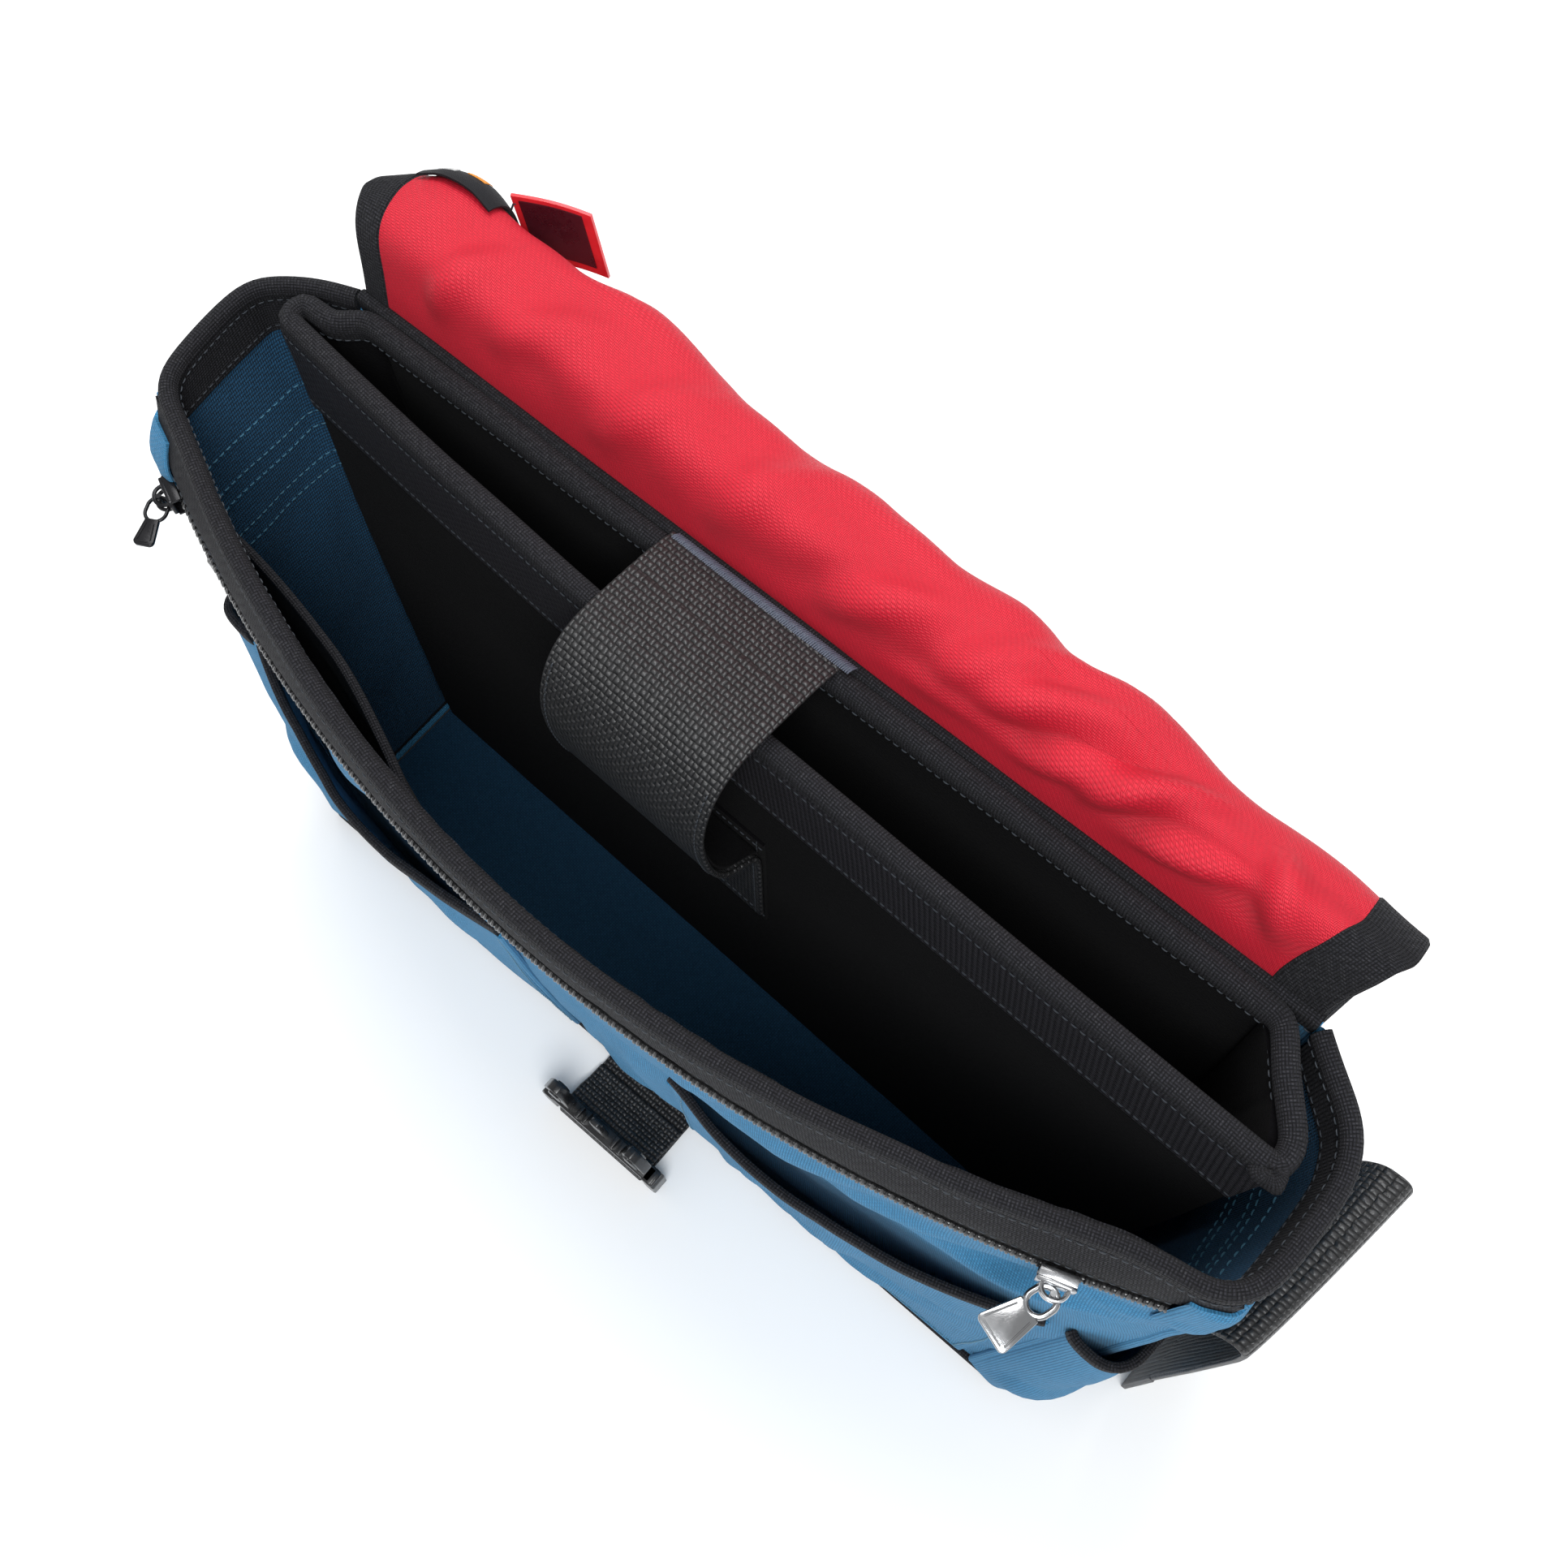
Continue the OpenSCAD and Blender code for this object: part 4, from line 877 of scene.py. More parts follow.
# ---------------------------------------------------------------- rim binding
def hull_path():
    """The rim tape's line: right end, front, left end, gently uneven."""
    off = (0.0015 - 0.0035) / 2
    t = np.linspace(0.985, 0.07, 60)
    r = end_at(t, BODY_H, 0.0004, 1)
    s = np.linspace(0.985, -0.985, 200)
    f = front_at(s, BODY_H, off)
    l = end_at(t[::-1], BODY_H, 0.0004, -1)
    p = run_of(np.vstack([r, f, l]), 0.003, 0.006)
    d = along(p)
    wave = fade(d, 0, 0.03) * (1 - fade(d, d[-1] - 0.03, d[-1]))
    p[:, 2] += wave * 0.0009 * grain(d * 22, 0.2, 0.5, 101)
    out = unit(np.stack([np.gradient(p[:, 1]), -np.gradient(p[:, 0])], 1)) * -1
    p[:, :2] += (wave * 0.0008 * grain(d * 30, 0.9, 2.5, 102))[:, None] * out
    return p


def tape_section(w, h, bulge=0.0006):
    """A folded tape: flat sides, a round top and two thin feet."""
    top = [(w / 2 * math.cos(a), h / 2 - w / 2 + w / 2 * math.sin(a) * 0.9)
           for a in np.radians(np.linspace(10, 170, 8))]
    left = [(-w / 2 - bulge * 0.6, h / 2 - w / 2 - 0.0015), (-w / 2, 0), (-w / 2 + 0.0003, -h / 2 + 0.0012),
            (-w / 2 + 0.0005, -h / 2)]
    right = [(-x, y) for x, y in left[::-1]]
    return np.array(top + left + right)


rim = hull_path()
sec = tape_section(0.0062, 0.0090)
ob = sweep("rim_tape", rim + [0, 0, -0.0001], sec, None, "tape", up=(0, 0, 1))
put(ob, "bag", "black_tape", "rim_binding")
S2 = unit(np.cross(unit(np.gradient(rim, axis=0)), [0, 0, 1.0]))
runs = []
for k in (1, -1):
    runs.append((rim + k * S2 * 0.0035 + [0, 0, -0.0026], S2 * k))
put(stitches("rim_tape_stitch", runs, "thread", 0.0034, 0.0023, 0.00026), "bag", "black_tape")


S, Z = np.meshgrid(np.linspace(-0.985, 0.985, 170), np.linspace(0.2672, 0.2850, 8), indexing="ij")
P = front_at(S, Z, -0.0042 + 0.0003 * grain(S * 40, Z * 60, 0.2, 103))
ob = shell("rim_lap_front", P, 0.0010, "tape", coords=np.stack([S * 0.235, Z], -1))
put(ob, "bag", "black_tape")
as_sheet(P)
rows_ = [(P[:, 1] + unit(front_at(S[:, 1], Z[:, 1], -0.01) - front_at(S[:, 1], Z[:, 1], 0.0)) * 0.0006,
          unit(front_at(S[:, 1], Z[:, 1], -0.01) - front_at(S[:, 1], Z[:, 1], 0.0)))]
for sign, side in ((1, "right"), (-1, "left")):
    T, Z = np.meshgrid(np.linspace(0.05, 0.97, 60), np.linspace(0.2672, 0.2850, 8), indexing="ij")
    P = end_at(T, Z, -0.0021, sign)
    ob = shell(f"rim_lap_{side}", P, 0.0010, "tape", coords=np.stack([T * 0.085, Z], -1), flip=sign < 0)
    put(ob, "bag", "black_tape")
    as_sheet(P)
    nn = unit(end_at(T[:, 1], Z[:, 1], -0.01, sign) - end_at(T[:, 1], Z[:, 1], 0.0, sign))
    rows_.append((P[:, 1] + nn * 0.0006, nn))
put(stitches("rim_lap_stitch", rows_, "thread", 0.0034, 0.0023, 0.00026), "bag", "black_tape")


def round_corner(J, Zc, split, near, far, sign, passes):
    """Cloth from the front face (J below split) round the corner: base points and outward directions."""
    sj = sign * (near + (1 - near) * np.clip(J / split, 0, 1))
    tj = far * np.clip((J - split) / (1 - split), 0, 1)
    on_front, on_end = front_at(sj, Zc, 0.0), end_at(tj, Zc, 0.0, sign)
    front = (J < split)[..., None]
    mid = np.where(front, on_front, on_end)
    nn = np.where(front, front_at(sj, Zc, 0.01) - on_front, end_at(tj, Zc, 0.01, sign) - on_end)
    for _ in range(passes):
        mid[1:-1] = (mid[:-2] + 2 * mid[1:-1] + mid[2:]) / 4
        nn[1:-1] = (nn[:-2] + 2 * nn[1:-1] + nn[2:]) / 4
    return mid, unit(nn), sj, tj


for sign, side in ((1, "right"), (-1, "left")):
    # a folded cloth tab closes each end of the zip and turns the corner
    U, I = np.meshgrid(np.linspace(0, 1, 44), np.linspace(0, 1, 18), indexing="ij")
    Zt = 0.2385 + (0.2750 - 0.2385) * I
    mid, nn, _, _ = round_corner(U, Zt, 0.62, 0.948, 0.10, sign, 6)
    hump = np.clip(np.sin(math.pi * U) * np.sin(math.pi * I), 0, 1) ** 0.5
    lift = 0.0022 + 0.0028 * hump + 0.0008 * grain(U * 4, I * 4, 0.2, 110 + sign) * hump
    P = mid + nn * lift[..., None]
    ob = shell(f"zip_end_tab_{side}", P, 0.0012, "blue", flip=sign < 0)
    put(ob, "bag", "blue_cloth")
    as_sheet(P)


# ---------------------------------------------------------------- outside pockets
def gape(j, i, g):
    """How far a pocket's cloth hangs off, most in the middle of its top edge."""
    return g * np.sin(math.pi * j) * i ** 1.5


for sign, side in ((1, "right"), (-1, "left")):
    s0, s1 = (0.19, 0.88) if sign > 0 else (-0.88, -0.19)
    J, I = np.meshgrid(np.linspace(0, 1, 80), np.linspace(0, 1, 56), indexing="ij")
    Sx, Zx = s0 + (s1 - s0) * J, 0.012 + (0.168 - 0.012) * I
    mouth = 0.0100 if sign > 0 else 0.0088
    soft = 0.0009 * grain(J * 6, I * 7, 0.2, 120 + sign) * np.sin(math.pi * J) ** 0.5
    lines = [(0.55, 0.18, 14, 0.7, 0.035, 0.0022), (0.7, 0.35, 20, 0.6, 0.035, 0.0018),
             (0.35, 0.1, -12, 0.5, 0.03, 0.0018), (0.85, 0.55, 35, 0.5, 0.03, 0.0016)]
    lines += [(0.2, 0.6, 65, 0.6, 0.05, 0.0022), (0.5, 0.7, 100, 0.6, 0.06, 0.0022),
              (0.78, 0.75, 120, 0.6, 0.05, 0.0024),
              (0.4, 0.3, 30, 0.5, 0.04, 0.0020), (0.12, 0.2, 80, 0.5, 0.04, 0.0020)]
    soft = soft + 1.35 * np.clip(ridges(J, I, lines), -0.0006, 1) * np.sin(math.pi * J) ** 0.7
    off = 0.00325 + gape(J, I, mouth) + np.maximum(soft, -0.0004) + sag(Sx, Zx) * (1 - I * 0.3)
    P = front_at(Sx, Zx, off)
    ob = shell(f"patch_pocket_cloth_{side}", P, 0.0013, "blue")
    put(ob, "bag", "blue_cloth", f"patch_pocket_{side}")
    top = P[:, -1] + [0, 0, 0.0045]
    tape = sweep(f"patch_tape_{side}", top, tape_section(0.0034, 0.0110, 0.0002), None, "tape",
                 up=(0, 0, 1))
    put(tape, "bag", "black_tape", f"patch_binding_{side}")
    as_sheet(P)
    # sewn sides: a folded edge on the front cloth
    runs = []
    for j in (1, -2):
        q = P[j]
        runs.append((q + unit(grid_normals(P)[j]) * 0.0008, grid_normals(P)[j]))
    runs.append((P[:, 1] + grid_normals(P)[:, 1] * 0.0008, grid_normals(P)[:, 1]))
    put(stitches(f"patch_stitch_{side}", runs, "blue_thread"), "bag", "blue_cloth")
    for j, tag in ((0, "a"), (-1, "b")):
        q = (P[j] + front_at(Sx[j], Zx[j], 0.0019)) / 2
        e = sweep(f"patch_edge_{side}_{tag}", q, round_rect(0.0042, 0.0030, 0.0014, 3), (1, 0, 0), "blue")
        put(e, "bag", "blue_cloth")
    q = (P[:, 0] + front_at(Sx[:, 0], Zx[:, 0], 0.0019)) / 2
    e = sweep(f"patch_edge_{side}_c", q, round_rect(0.0030, 0.0042, 0.0014, 3), None, "blue", up=(0, 0, 1))
    put(e, "bag", "blue_cloth")

    # the end pocket starts on the front face, turns the corner and hangs full
    J, I = np.meshgrid(np.linspace(0, 1, 110), np.linspace(0, 1, 56), indexing="ij")
    Zx = 0.010 + (0.156 - 0.010) * I + 0.010 * (1 - fade(J, 0.05, 0.35)) * I
    split = 0.16
    base_line, nn, sj, tj = round_corner(J, Zx, split, 0.925, 0.9, sign, 14)
    hump = np.sin(math.pi * J ** 0.75) ** 0.8
    full = 1.0 if sign > 0 else 0.42
    belly = full * hump * (0.0095 * np.sin(math.pi * np.clip(0.10 + 0.72 * I, 0, 1)) + 0.0035 * I)
    soft = 0.0011 * grain(J * 4, I * 5, 0.2, 130 + sign) * hump
    lines = [(0.16, 0.35, 70, 0.8, 0.05, 0.0026), (0.24, 0.5, 60, 0.8, 0.05, 0.0022),
             (0.36, 0.45, 80, 0.8, 0.06, 0.0018),
             (0.55, 0.5, 95, 0.8, 0.06, 0.0016), (0.75, 0.5, 100, 0.7, 0.05, 0.0014)]
    soft = soft + np.clip(ridges(J, I, lines), -0.0008, 1) * hump
    P = base_line + nn * (0.00325 + belly + soft + end_soft(tj, Zx, 40 if sign > 0 else 60)
                          * (J > split))[..., None]
    ob = shell(f"end_pocket_cloth_{side}", P, 0.0013, "blue", flip=sign < 0)
    put(ob, "bag", "blue_cloth", f"end_pocket_{side}")
    tape = sweep(f"end_tape_{side}", P[:, -1] + [0, 0, 0.0035], tape_section(0.0036, 0.0115, 0.0002), None,
                 "tape",
                 up=(0, 0, 1))
    put(tape, "bag", "black_tape", f"end_trim_{side}")
    as_sheet(P)
    for j, tag in ((0, "a"), (-1, "b")):
        flatp = front_at(sj[j], Zx[j], 0.0019) if j == 0 else end_at(tj[j], Zx[j], 0.0019, sign)
        e = sweep(f"end_pocket_edge_{side}_{tag}", (P[j] + flatp) / 2,
                  round_rect(0.0042, 0.0032, 0.0015, 3), (1, 0, 0), "blue")
        put(e, "bag", "blue_cloth")

# ---------------------------------------------------------------- organiser inside the front wall
J, I = np.meshgrid(np.linspace(0, 1, 70), np.linspace(0, 1, 50), indexing="ij")
Sx, Zx = -0.93 + 0.63 * J, 0.070 + (0.236 - 0.070) * I
P = front_at(Sx, Zx, -0.0052 - gape(J, I, 0.012) - 0.0008 * np.abs(grain(J * 5, I * 5, 0.4, 140))
             + sag(Sx, Zx))
ob = shell("organiser_cloth", P, 0.0012, "zip_tape")
put(ob, "bag", "black_tape", "organiser_pocket")
tape = sweep("organiser_tape", P[:, -1] + [0, 0, 0.0045], tape_section(0.0032, 0.0110, 0.0002), None,
             "tape", up=(0, 0, 1))
put(tape, "bag", "black_tape", "organiser_binding")
as_sheet(P)


# ---------------------------------------------------------------- laptop sleeve
def lean(x):
    """The divider's top bows back at its left end."""
    x = np.asarray(x, float)
    return -0.0025 + 0.0075 * np.clip(-x / 0.22, 0, 1.1) ** 2 + 0.0015 * np.clip(x / 0.22, 0, 1.1) ** 2


def divider_front(x, z):
    """Y of the divider's front face."""
    t = np.clip((z - BASE_TOP) / (SLEEVE_H - BASE_TOP), 0, 1.05)
    return 0.006 + 0.014 * t - SLOPE * x + lean(x) * t ** 2


def divider_grid(z0, z1, nx, nz, off, edge=0.0):
    J, I = np.meshgrid(np.linspace(-1, 1, nx), np.linspace(0, 1, nz), indexing="ij")
    Zg = z0 + (z1 - z0) * I
    t = (Zg - BASE_TOP) / (SLEEVE_H - BASE_TOP)
    half = FOOT_LEN / 2 + (TOP_LEN - FOOT_LEN) / 2 * t - edge
    Xg = J * half
    return Xg, Zg, np.stack([Xg, divider_front(Xg, Zg) + off, Zg], -1), J, I


Xg, Zg, P, J, I = divider_grid(BASE_TOP, SLEEVE_H, 130, 70, 0.003, 0.0005)
puff = (1 - np.abs(J) ** 10) * (1 - (1 - I) ** 12)
pinch = 1 - 0.45 * fade(I, 0.96, 1.0)
P[..., 1] += 0.0012 * grain(Xg * 10, Zg * 12, 0.4, 150) * fade(I, 0, 0.1)
thick = (0.0036 + 0.0024 * puff) * pinch
pad = shell("divider_pad", P, thick, "lining", flip=False)
put(pad, "bag", "sleeve_cloth", "divider_front_skin", "divider_foam", "divider_back_skin")

Xg, Zg, P, J, I = divider_grid(SLEEVE_H - 0.040, SLEEVE_H + 0.001, 120, 12, -0.0007, 0.001)
P[..., 1] += 0.0012 * grain(Xg * 10, Zg * 12, 0.4, 150)
ob = shell("divider_band_cloth", P, 0.0010, "band")
put(ob, "bag", "black_tape", "divider_band")
as_sheet(P)
put(stitches("divider_band_stitch", [(P[:, 1] + [0, -0.0006, 0], (0, -1, 0))], "thread", 0.0032, 0.0022,
             0.00024),
    "bag", "black_tape")

PAD_HALF = HALF_BASE - 0.008
PAD_Y = HALF_DEPTH - 0.006
X, Z = np.meshgrid(np.linspace(-PAD_HALF, PAD_HALF, 120), np.linspace(BASE_TOP, SLEEVE_H, 64),
                   indexing="ij")
jj, ii = X / PAD_HALF, (Z - BASE_TOP) / (SLEEVE_H - BASE_TOP)
puff = (1 - np.abs(jj) ** 8) * (1 - np.abs(2 * ii - 1) ** 10)
groove = np.exp(-((Z - (SLEEVE_H - 0.016)) / 0.0015) ** 2)
P = np.stack([X, PAD_Y + 0.0028 + 0.0006 * grain(X * 12, Z * 12, 0.7, 160), Z], -1)
ob = shell("sleeve_back_pad", P, 0.0036 + 0.0022 * puff - 0.0012 * groove, "lining", flip=False)
put(ob, "bag", "sleeve_cloth", "sleeve_back_skin", "sleeve_back_foam")

for sign, side in ((1, "right"), (-1, "left")):
    J, I = np.meshgrid(np.linspace(0, 1, 30), np.linspace(0, 1, 60), indexing="ij")
    Zg = BASE_TOP + (SLEEVE_H - BASE_TOP) * I
    half = FOOT_LEN / 2 + (TOP_LEN - FOOT_LEN) / 2 * I
    fx = sign * (half - 0.0055)
    fy = divider_front(fx, Zg) + 0.0062
    bx = sign * (PAD_HALF - 0.0055)
    by = PAD_Y - 0.0003
    Xg = fx + (bx - fx) * J
    Yg = fy + (by - fy) * J
    Xg = Xg + sign * (0.0035 * np.sin(math.pi * J) * fade(I, 0.3, 1.0)
                      + 0.0009 * grain(J * 3, Zg * 22, 0.4, 170 + sign) * np.sin(math.pi * J))
    P = np.stack([Xg, Yg, Zg], -1)
    puff = np.sin(math.pi * np.clip(J, 0, 1)) ** 0.4
    quilt = 1 - 0.5 * np.exp(-((J - 0.5) / 0.05) ** 2) * fade(I, 0.2, 0.4)
    ob = shell(f"sleeve_gusset_pad_{side}", P, 0.0016 + 0.0028 * puff * quilt, "lining", flip=sign < 0)
    put(ob, "bag", "sleeve_cloth", f"sleeve_gusset_{side}")

X, Y = np.meshgrid(np.linspace(-FOOT_LEN / 2 + 0.014, FOOT_LEN / 2 - 0.014, 90),
                   np.linspace(0.0215, PAD_Y - 0.001, 14), indexing="ij")
ob = shell("sleeve_floor_cushion", np.stack([X, Y, 0.0072 + 0.0005 * grain(X * 20, Y * 30, 0.1, 180)], -1),
           0.0030 + 0.001 * (1 - (X / 0.182) ** 10), "lining")
put(ob, "bag", "sleeve_cloth", "sleeve_floor_pad")

# one tape round the sleeve's mouth
top_half = TOP_LEN / 2
xs = np.linspace(-top_half + 0.001, top_half - 0.001, 60)
front_run = np.stack([xs, divider_front(xs, np.full(60, SLEEVE_H)) + 0.0029,
                      np.full(60, SLEEVE_H + 0.003)], 1)
gx = top_half - 0.0015
right_run = [(gx, divider_front(gx, SLEEVE_H) + 0.012, SLEEVE_H + 0.003),
             (PAD_HALF + 0.008, 0.040, SLEEVE_H + 0.0032),
             (PAD_HALF - 0.001, PAD_Y + 0.001, SLEEVE_H + 0.0032)]
left_run = [(-PAD_HALF + 0.001, PAD_Y + 0.001, SLEEVE_H + 0.0032),
            (-PAD_HALF - 0.008, 0.044, SLEEVE_H + 0.0032),
            (-gx, divider_front(-gx, SLEEVE_H) + 0.012, SLEEVE_H + 0.003)]
back_y = PAD_Y + 0.0012
loop = np.vstack([front_run, right_run, [(PAD_HALF - 0.006, back_y, SLEEVE_H + 0.0032)],
                  [(-PAD_HALF + 0.006, back_y, SLEEVE_H + 0.0032)], left_run])
loop = run_of(loop, 0.003, 0.0030, True)
dd = along(loop)
loop[:, 2] += 0.0007 * grain(dd * 20, 0.4, 0.4, 190)
loop[:, 1] += 0.0005 * grain(dd * 26, 2.4, 0.4, 191)
ob = sweep("sleeve_tape", loop, tape_section(0.0078, 0.0110), None, "tape", closed=True, up=(0, 0, 1))
put(ob, "bag", "black_tape", "sleeve_binding")
T2 = unit(np.roll(loop, -1, 0) - np.roll(loop, 1, 0))
S2 = unit(np.cross(T2, [0, 0, 1.0]))
put(stitches("sleeve_tape_stitch", [(loop + k * S2 * 0.0042 + [0, 0, -0.0038], S2 * k) for k in (1, -1)],
             "thread",
             0.0034, 0.0023, 0.00026), "bag", "black_tape")
xs = np.linspace(-HALF_BASE + 0.0005, HALF_BASE - 0.0005, 130)
back_line = np.stack([xs, HALF_DEPTH + 0.0009 + 0.0004 * grain(xs * 30, 0.3, 0.2, 195),
                      0.2868 + 0.0005 * grain(xs * 24, 0.3, 0.2, 196)], 1)
ob = sweep("back_edge_tape", back_line, tape_section(0.0046, 0.0105, 0.0003), None, "tape", up=(0, 0, 1))
put(ob, "bag", "black_tape")
put(stitches("back_edge_stitch", [(back_line + [0, -0.0026, -0.0036], (0, -1, 0))], "thread", 0.0034,
             0.0023, 0.00024), "bag", "black_tape")

# small folded lump where the tape turns the right corner
cx, cy = top_half - 0.003, float(divider_front(top_half, SLEEVE_H)) + 0.001
u = np.linspace(0, 2 * math.pi, 25)[:-1]
vv = np.linspace(0.06, math.pi - 0.06, 13)
U, Vv = np.meshgrid(u, vv, indexing="ij")
R = 0.0062 * (1 + 0.12 * np.sin(3 * U + 2 * Vv) + 0.08 * np.sin(5 * U - Vv))
K = np.stack([cx + R * np.cos(U) * np.sin(Vv), cy + 0.85 * R * np.sin(U) * np.sin(Vv),
              SLEEVE_H + 0.003 + 0.8 * R * np.cos(Vv)], -1)
ids, raw = grid_faces(24, 13, True, False)
faces = [tuple(f[::-1]) for f in ids] + [tuple(i * 13 for i in range(24))[::-1],
                                         tuple(i * 13 + 12 for i in range(24))]
coords = [np.stack([r[::-1, 0] * 0.0016, r[::-1, 1] * 0.0016], 1) for r in raw] + [np.zeros((24, 2))] * 2
ob = mesh("sleeve_corner_fold", K.reshape(-1, 3), faces, coords, "tape")
check_outward(ob)
put(ob, "bag", "black_tape")


# ---------------------------------------------------------------- retention strap
def turned(y, z, x=0.0):
    """A point in the plane square to the divider, x along it."""
    c, s = math.cos(TURN), math.sin(TURN)
    return np.stack([GRIP_X + x * c - y * s, x * s + y * c, z + 0 * y], -1)


def face_at(z):
    return float(divider_front(GRIP_X, z)) * math.cos(TURN)


AX = np.array([math.cos(TURN), math.sin(TURN), 0.0])
KNEE = (0.0025, 0.2955)
PIVOT_Y = HALF_DEPTH - 0.003
ctl = [(PIVOT_Y + 0.001, 0.2925), (PIVOT_Y - 0.006, 0.2953), (0.030, 0.2972), (0.012, 0.2985),
       (0.0035, 0.2962), (-0.0035, 0.2899),
       (-0.0088, 0.2797), (-0.0120, 0.2660), (-0.0122, 0.2480), (-0.0098, 0.2290), (-0.005, 0.2130),
       (face_at(0.200) - 0.0040, 0.2000), (face_at(0.190) - 0.0030, 0.1900),
       (face_at(0.160) - 0.0030, 0.1600), (face_at(0.134) - 0.0030, 0.1340)]
q = run_of(ctl, 0.002, 0.005)
line = turned(q[:, 0], q[:, 1])
dist = along(line)
cut = int(np.argmin(np.abs(dist - 0.020)))
sec = wide_section(0.075, 0.0022)
grips = []
for name, part in (("grip_webbing_root", slice(0, cut + 1)), ("grip_webbing", slice(cut, None))):
    ob = sweep(name, line[part], sec, AX, "web", sharp=60)
    put(ob, None, "webbing", "grip_strap_root" if "root" in name else "grip_strap_end")
    grips.append(ob)
# hook tape sewn under the strap's far half, standing off at its right edge
far = int(np.argmin(np.abs(dist - 0.062)))
under = line[far:]
T = unit(np.gradient(under, axis=0))
Un = unit(np.cross(AX, T))
Un = Un if Un[0][1] > 0 else -Un
hook = sweep("grip_hook_tape", under + Un * 0.0020, wide_section(0.070, 0.0012), AX, "loop", sharp=60)
put(hook, None, "hook_loop")
rows = []
for xx in (-0.0345, 0.0345):
    rows.append((under + AX * xx - Un * 0.0012, -Un))
grip_rows = stitches("grip_stitch", rows, "thread", 0.0030, 0.0021, 0.00026)
put(grip_rows, None, "webbing")
end_row = [turned(np.array([face_at(0.140) - 0.0044]), np.array([0.140]), x)[0]
           for x in np.linspace(-0.034, 0.034, 12)]
grip_end = stitches("grip_end_stitch", [(np.array(end_row), (0, -1, 0))], "thread", 0.0030, 0.0021, 0.00026)
put(grip_end, None, "webbing")

z0, z1 = 0.122, 0.206
zz = np.linspace(z0, z1, 20)
J, Zp = np.meshgrid(np.linspace(-0.0375, 0.0375, 24), zz, indexing="ij")
fy = divider_front(GRIP_X + J, Zp) - 0.0006
P = np.stack([GRIP_X + J, fy, Zp], -1)
ob = shell("loop_pile_patch", P, 0.0012, "loop")
put(ob, "bag", "hook_loop", "loop_patch")
as_sheet(P)
edge = [(P[:, 1] + [0, -0.0007, 0], (0, -1, 0)), (P[:, -2] + [0, -0.0007, 0], (0, -1, 0)),
        (P[1] + [0, -0.0007, 0], (0, -1, 0)), (P[-2] + [0, -0.0007, 0], (0, -1, 0))]
put(stitches("loop_patch_stitch", edge, "thread", 0.0030, 0.0021, 0.00024), "bag", "hook_loop")

# bar tack that holds the strap to the sleeve's back tape
tack = []
for i, xx in enumerate(np.linspace(-0.034, 0.042, 95)):
    a = np.array([GRIP_X + xx, back_y + 0.0010, SLEEVE_H + 0.0100])
    b = np.array([GRIP_X + xx + 0.0010, back_y + 0.0050, SLEEVE_H + 0.0090])
    m = (a + b) / 2 + [0, 0, 0.0009 * (1 + 0.2 * math.sin(i * 1.7))]
    tack.append(with_coords(*tube(np.array([a, m, b]), np.array([0.00028, 0.00042, 0.00028]), 6)))
put(joined("bar_tack", tack, "satin", 60), "bag", "black_tape")


# ---------------------------------------------------------------- zip
ZIP_Z = 0.255
v = ZIP_Z / BODY_H
chord = (HALF_BASE / math.sin(ARC_HALF) * (1 - v) + RIM_R * v) * math.sin(ARC_HALF)
zbow = v * RIM_R * (1 - math.cos(ARC_HALF))
ZIP_R = (chord ** 2 + zbow ** 2) / (2 * zbow)
ZIP_CY = -HALF_DEPTH * (1 - v) + (RIM_CY - RIM_R) * v + ZIP_R
SPAN = math.asin(chord / ZIP_R) - math.radians(1.2)


def on_arc(a, out, dz=0.0):
    a = np.asarray(a, float)
    return np.stack([(ZIP_R + out) * np.sin(a), ZIP_CY - (ZIP_R + out) * np.cos(a), ZIP_Z + dz + 0 * a], -1)


a_ = np.linspace(-SPAN, SPAN, 220)
for side, lo, hi in (("lower", -0.0092, -0.0001), ("upper", 0.0001, 0.0092)):
    A, D = np.meshgrid(a_, np.linspace(lo, hi, 8), indexing="ij")
    P = on_arc(A, 0.0004 + 0.0003 * grain(A * 120, D * 60, 0.1, 200), D)
    ob = shell(f"zip_tape_{side}", P, 0.0008, "zip_tape")
    put(ob, "bag", "zip_cloth", *(["zip_tape"] if side == "lower" else []))
teeth = []
count = int(2 * SPAN * ZIP_R / 0.00165)
for k in range(count):
    a = -SPAN + 2 * SPAN * (k + 0.5) / count
    shiftz = 0.00055 if k % 2 else -0.00055
    c = on_arc(a, 0.0027)
    tang = np.array([math.cos(a), math.sin(a), 0])
    outv = np.array([math.sin(a), -math.cos(a), 0])
    tt = np.linspace(-1, 1, 7)
    pts = np.array([c + np.array([0, 0, 0.0024 * t + shiftz]) + outv * (0.0011 * (1 - t * t) - 0.0012)
                    + tang * 0.00022 * t * (1 if k % 2 else -1) for t in tt])
    girth = np.array([0.00045, 0.00066, 0.00072, 0.00074, 0.00072, 0.00066, 0.00045])
    teeth.append(with_coords(*tube(pts, girth, 6)))
teeth.append(with_coords(*tube(on_arc(a_, 0.0016, 0.0), 0.0012, 8)))
ob = joined("zip_teeth", teeth, "coil", 50)
put(ob, "bag", "zip_black", "zip_coil")
put(stitches("zip_stitch", [(on_arc(a_, 0.0011, 0.0074), on_arc(a_, 0.01) - on_arc(a_, 0.0)),
                            (on_arc(a_, 0.0011, -0.0074), on_arc(a_, 0.01) - on_arc(a_, 0.0))], "thread",
             0.0034, 0.0022, 0.00022),
    "bag", "zip_cloth")

SLIDER_OFF = 0.0028 + 0.002 + 0.0004
BAIL_OUT = SLIDER_OFF + 0.0018 + 0.0026 - 0.0004


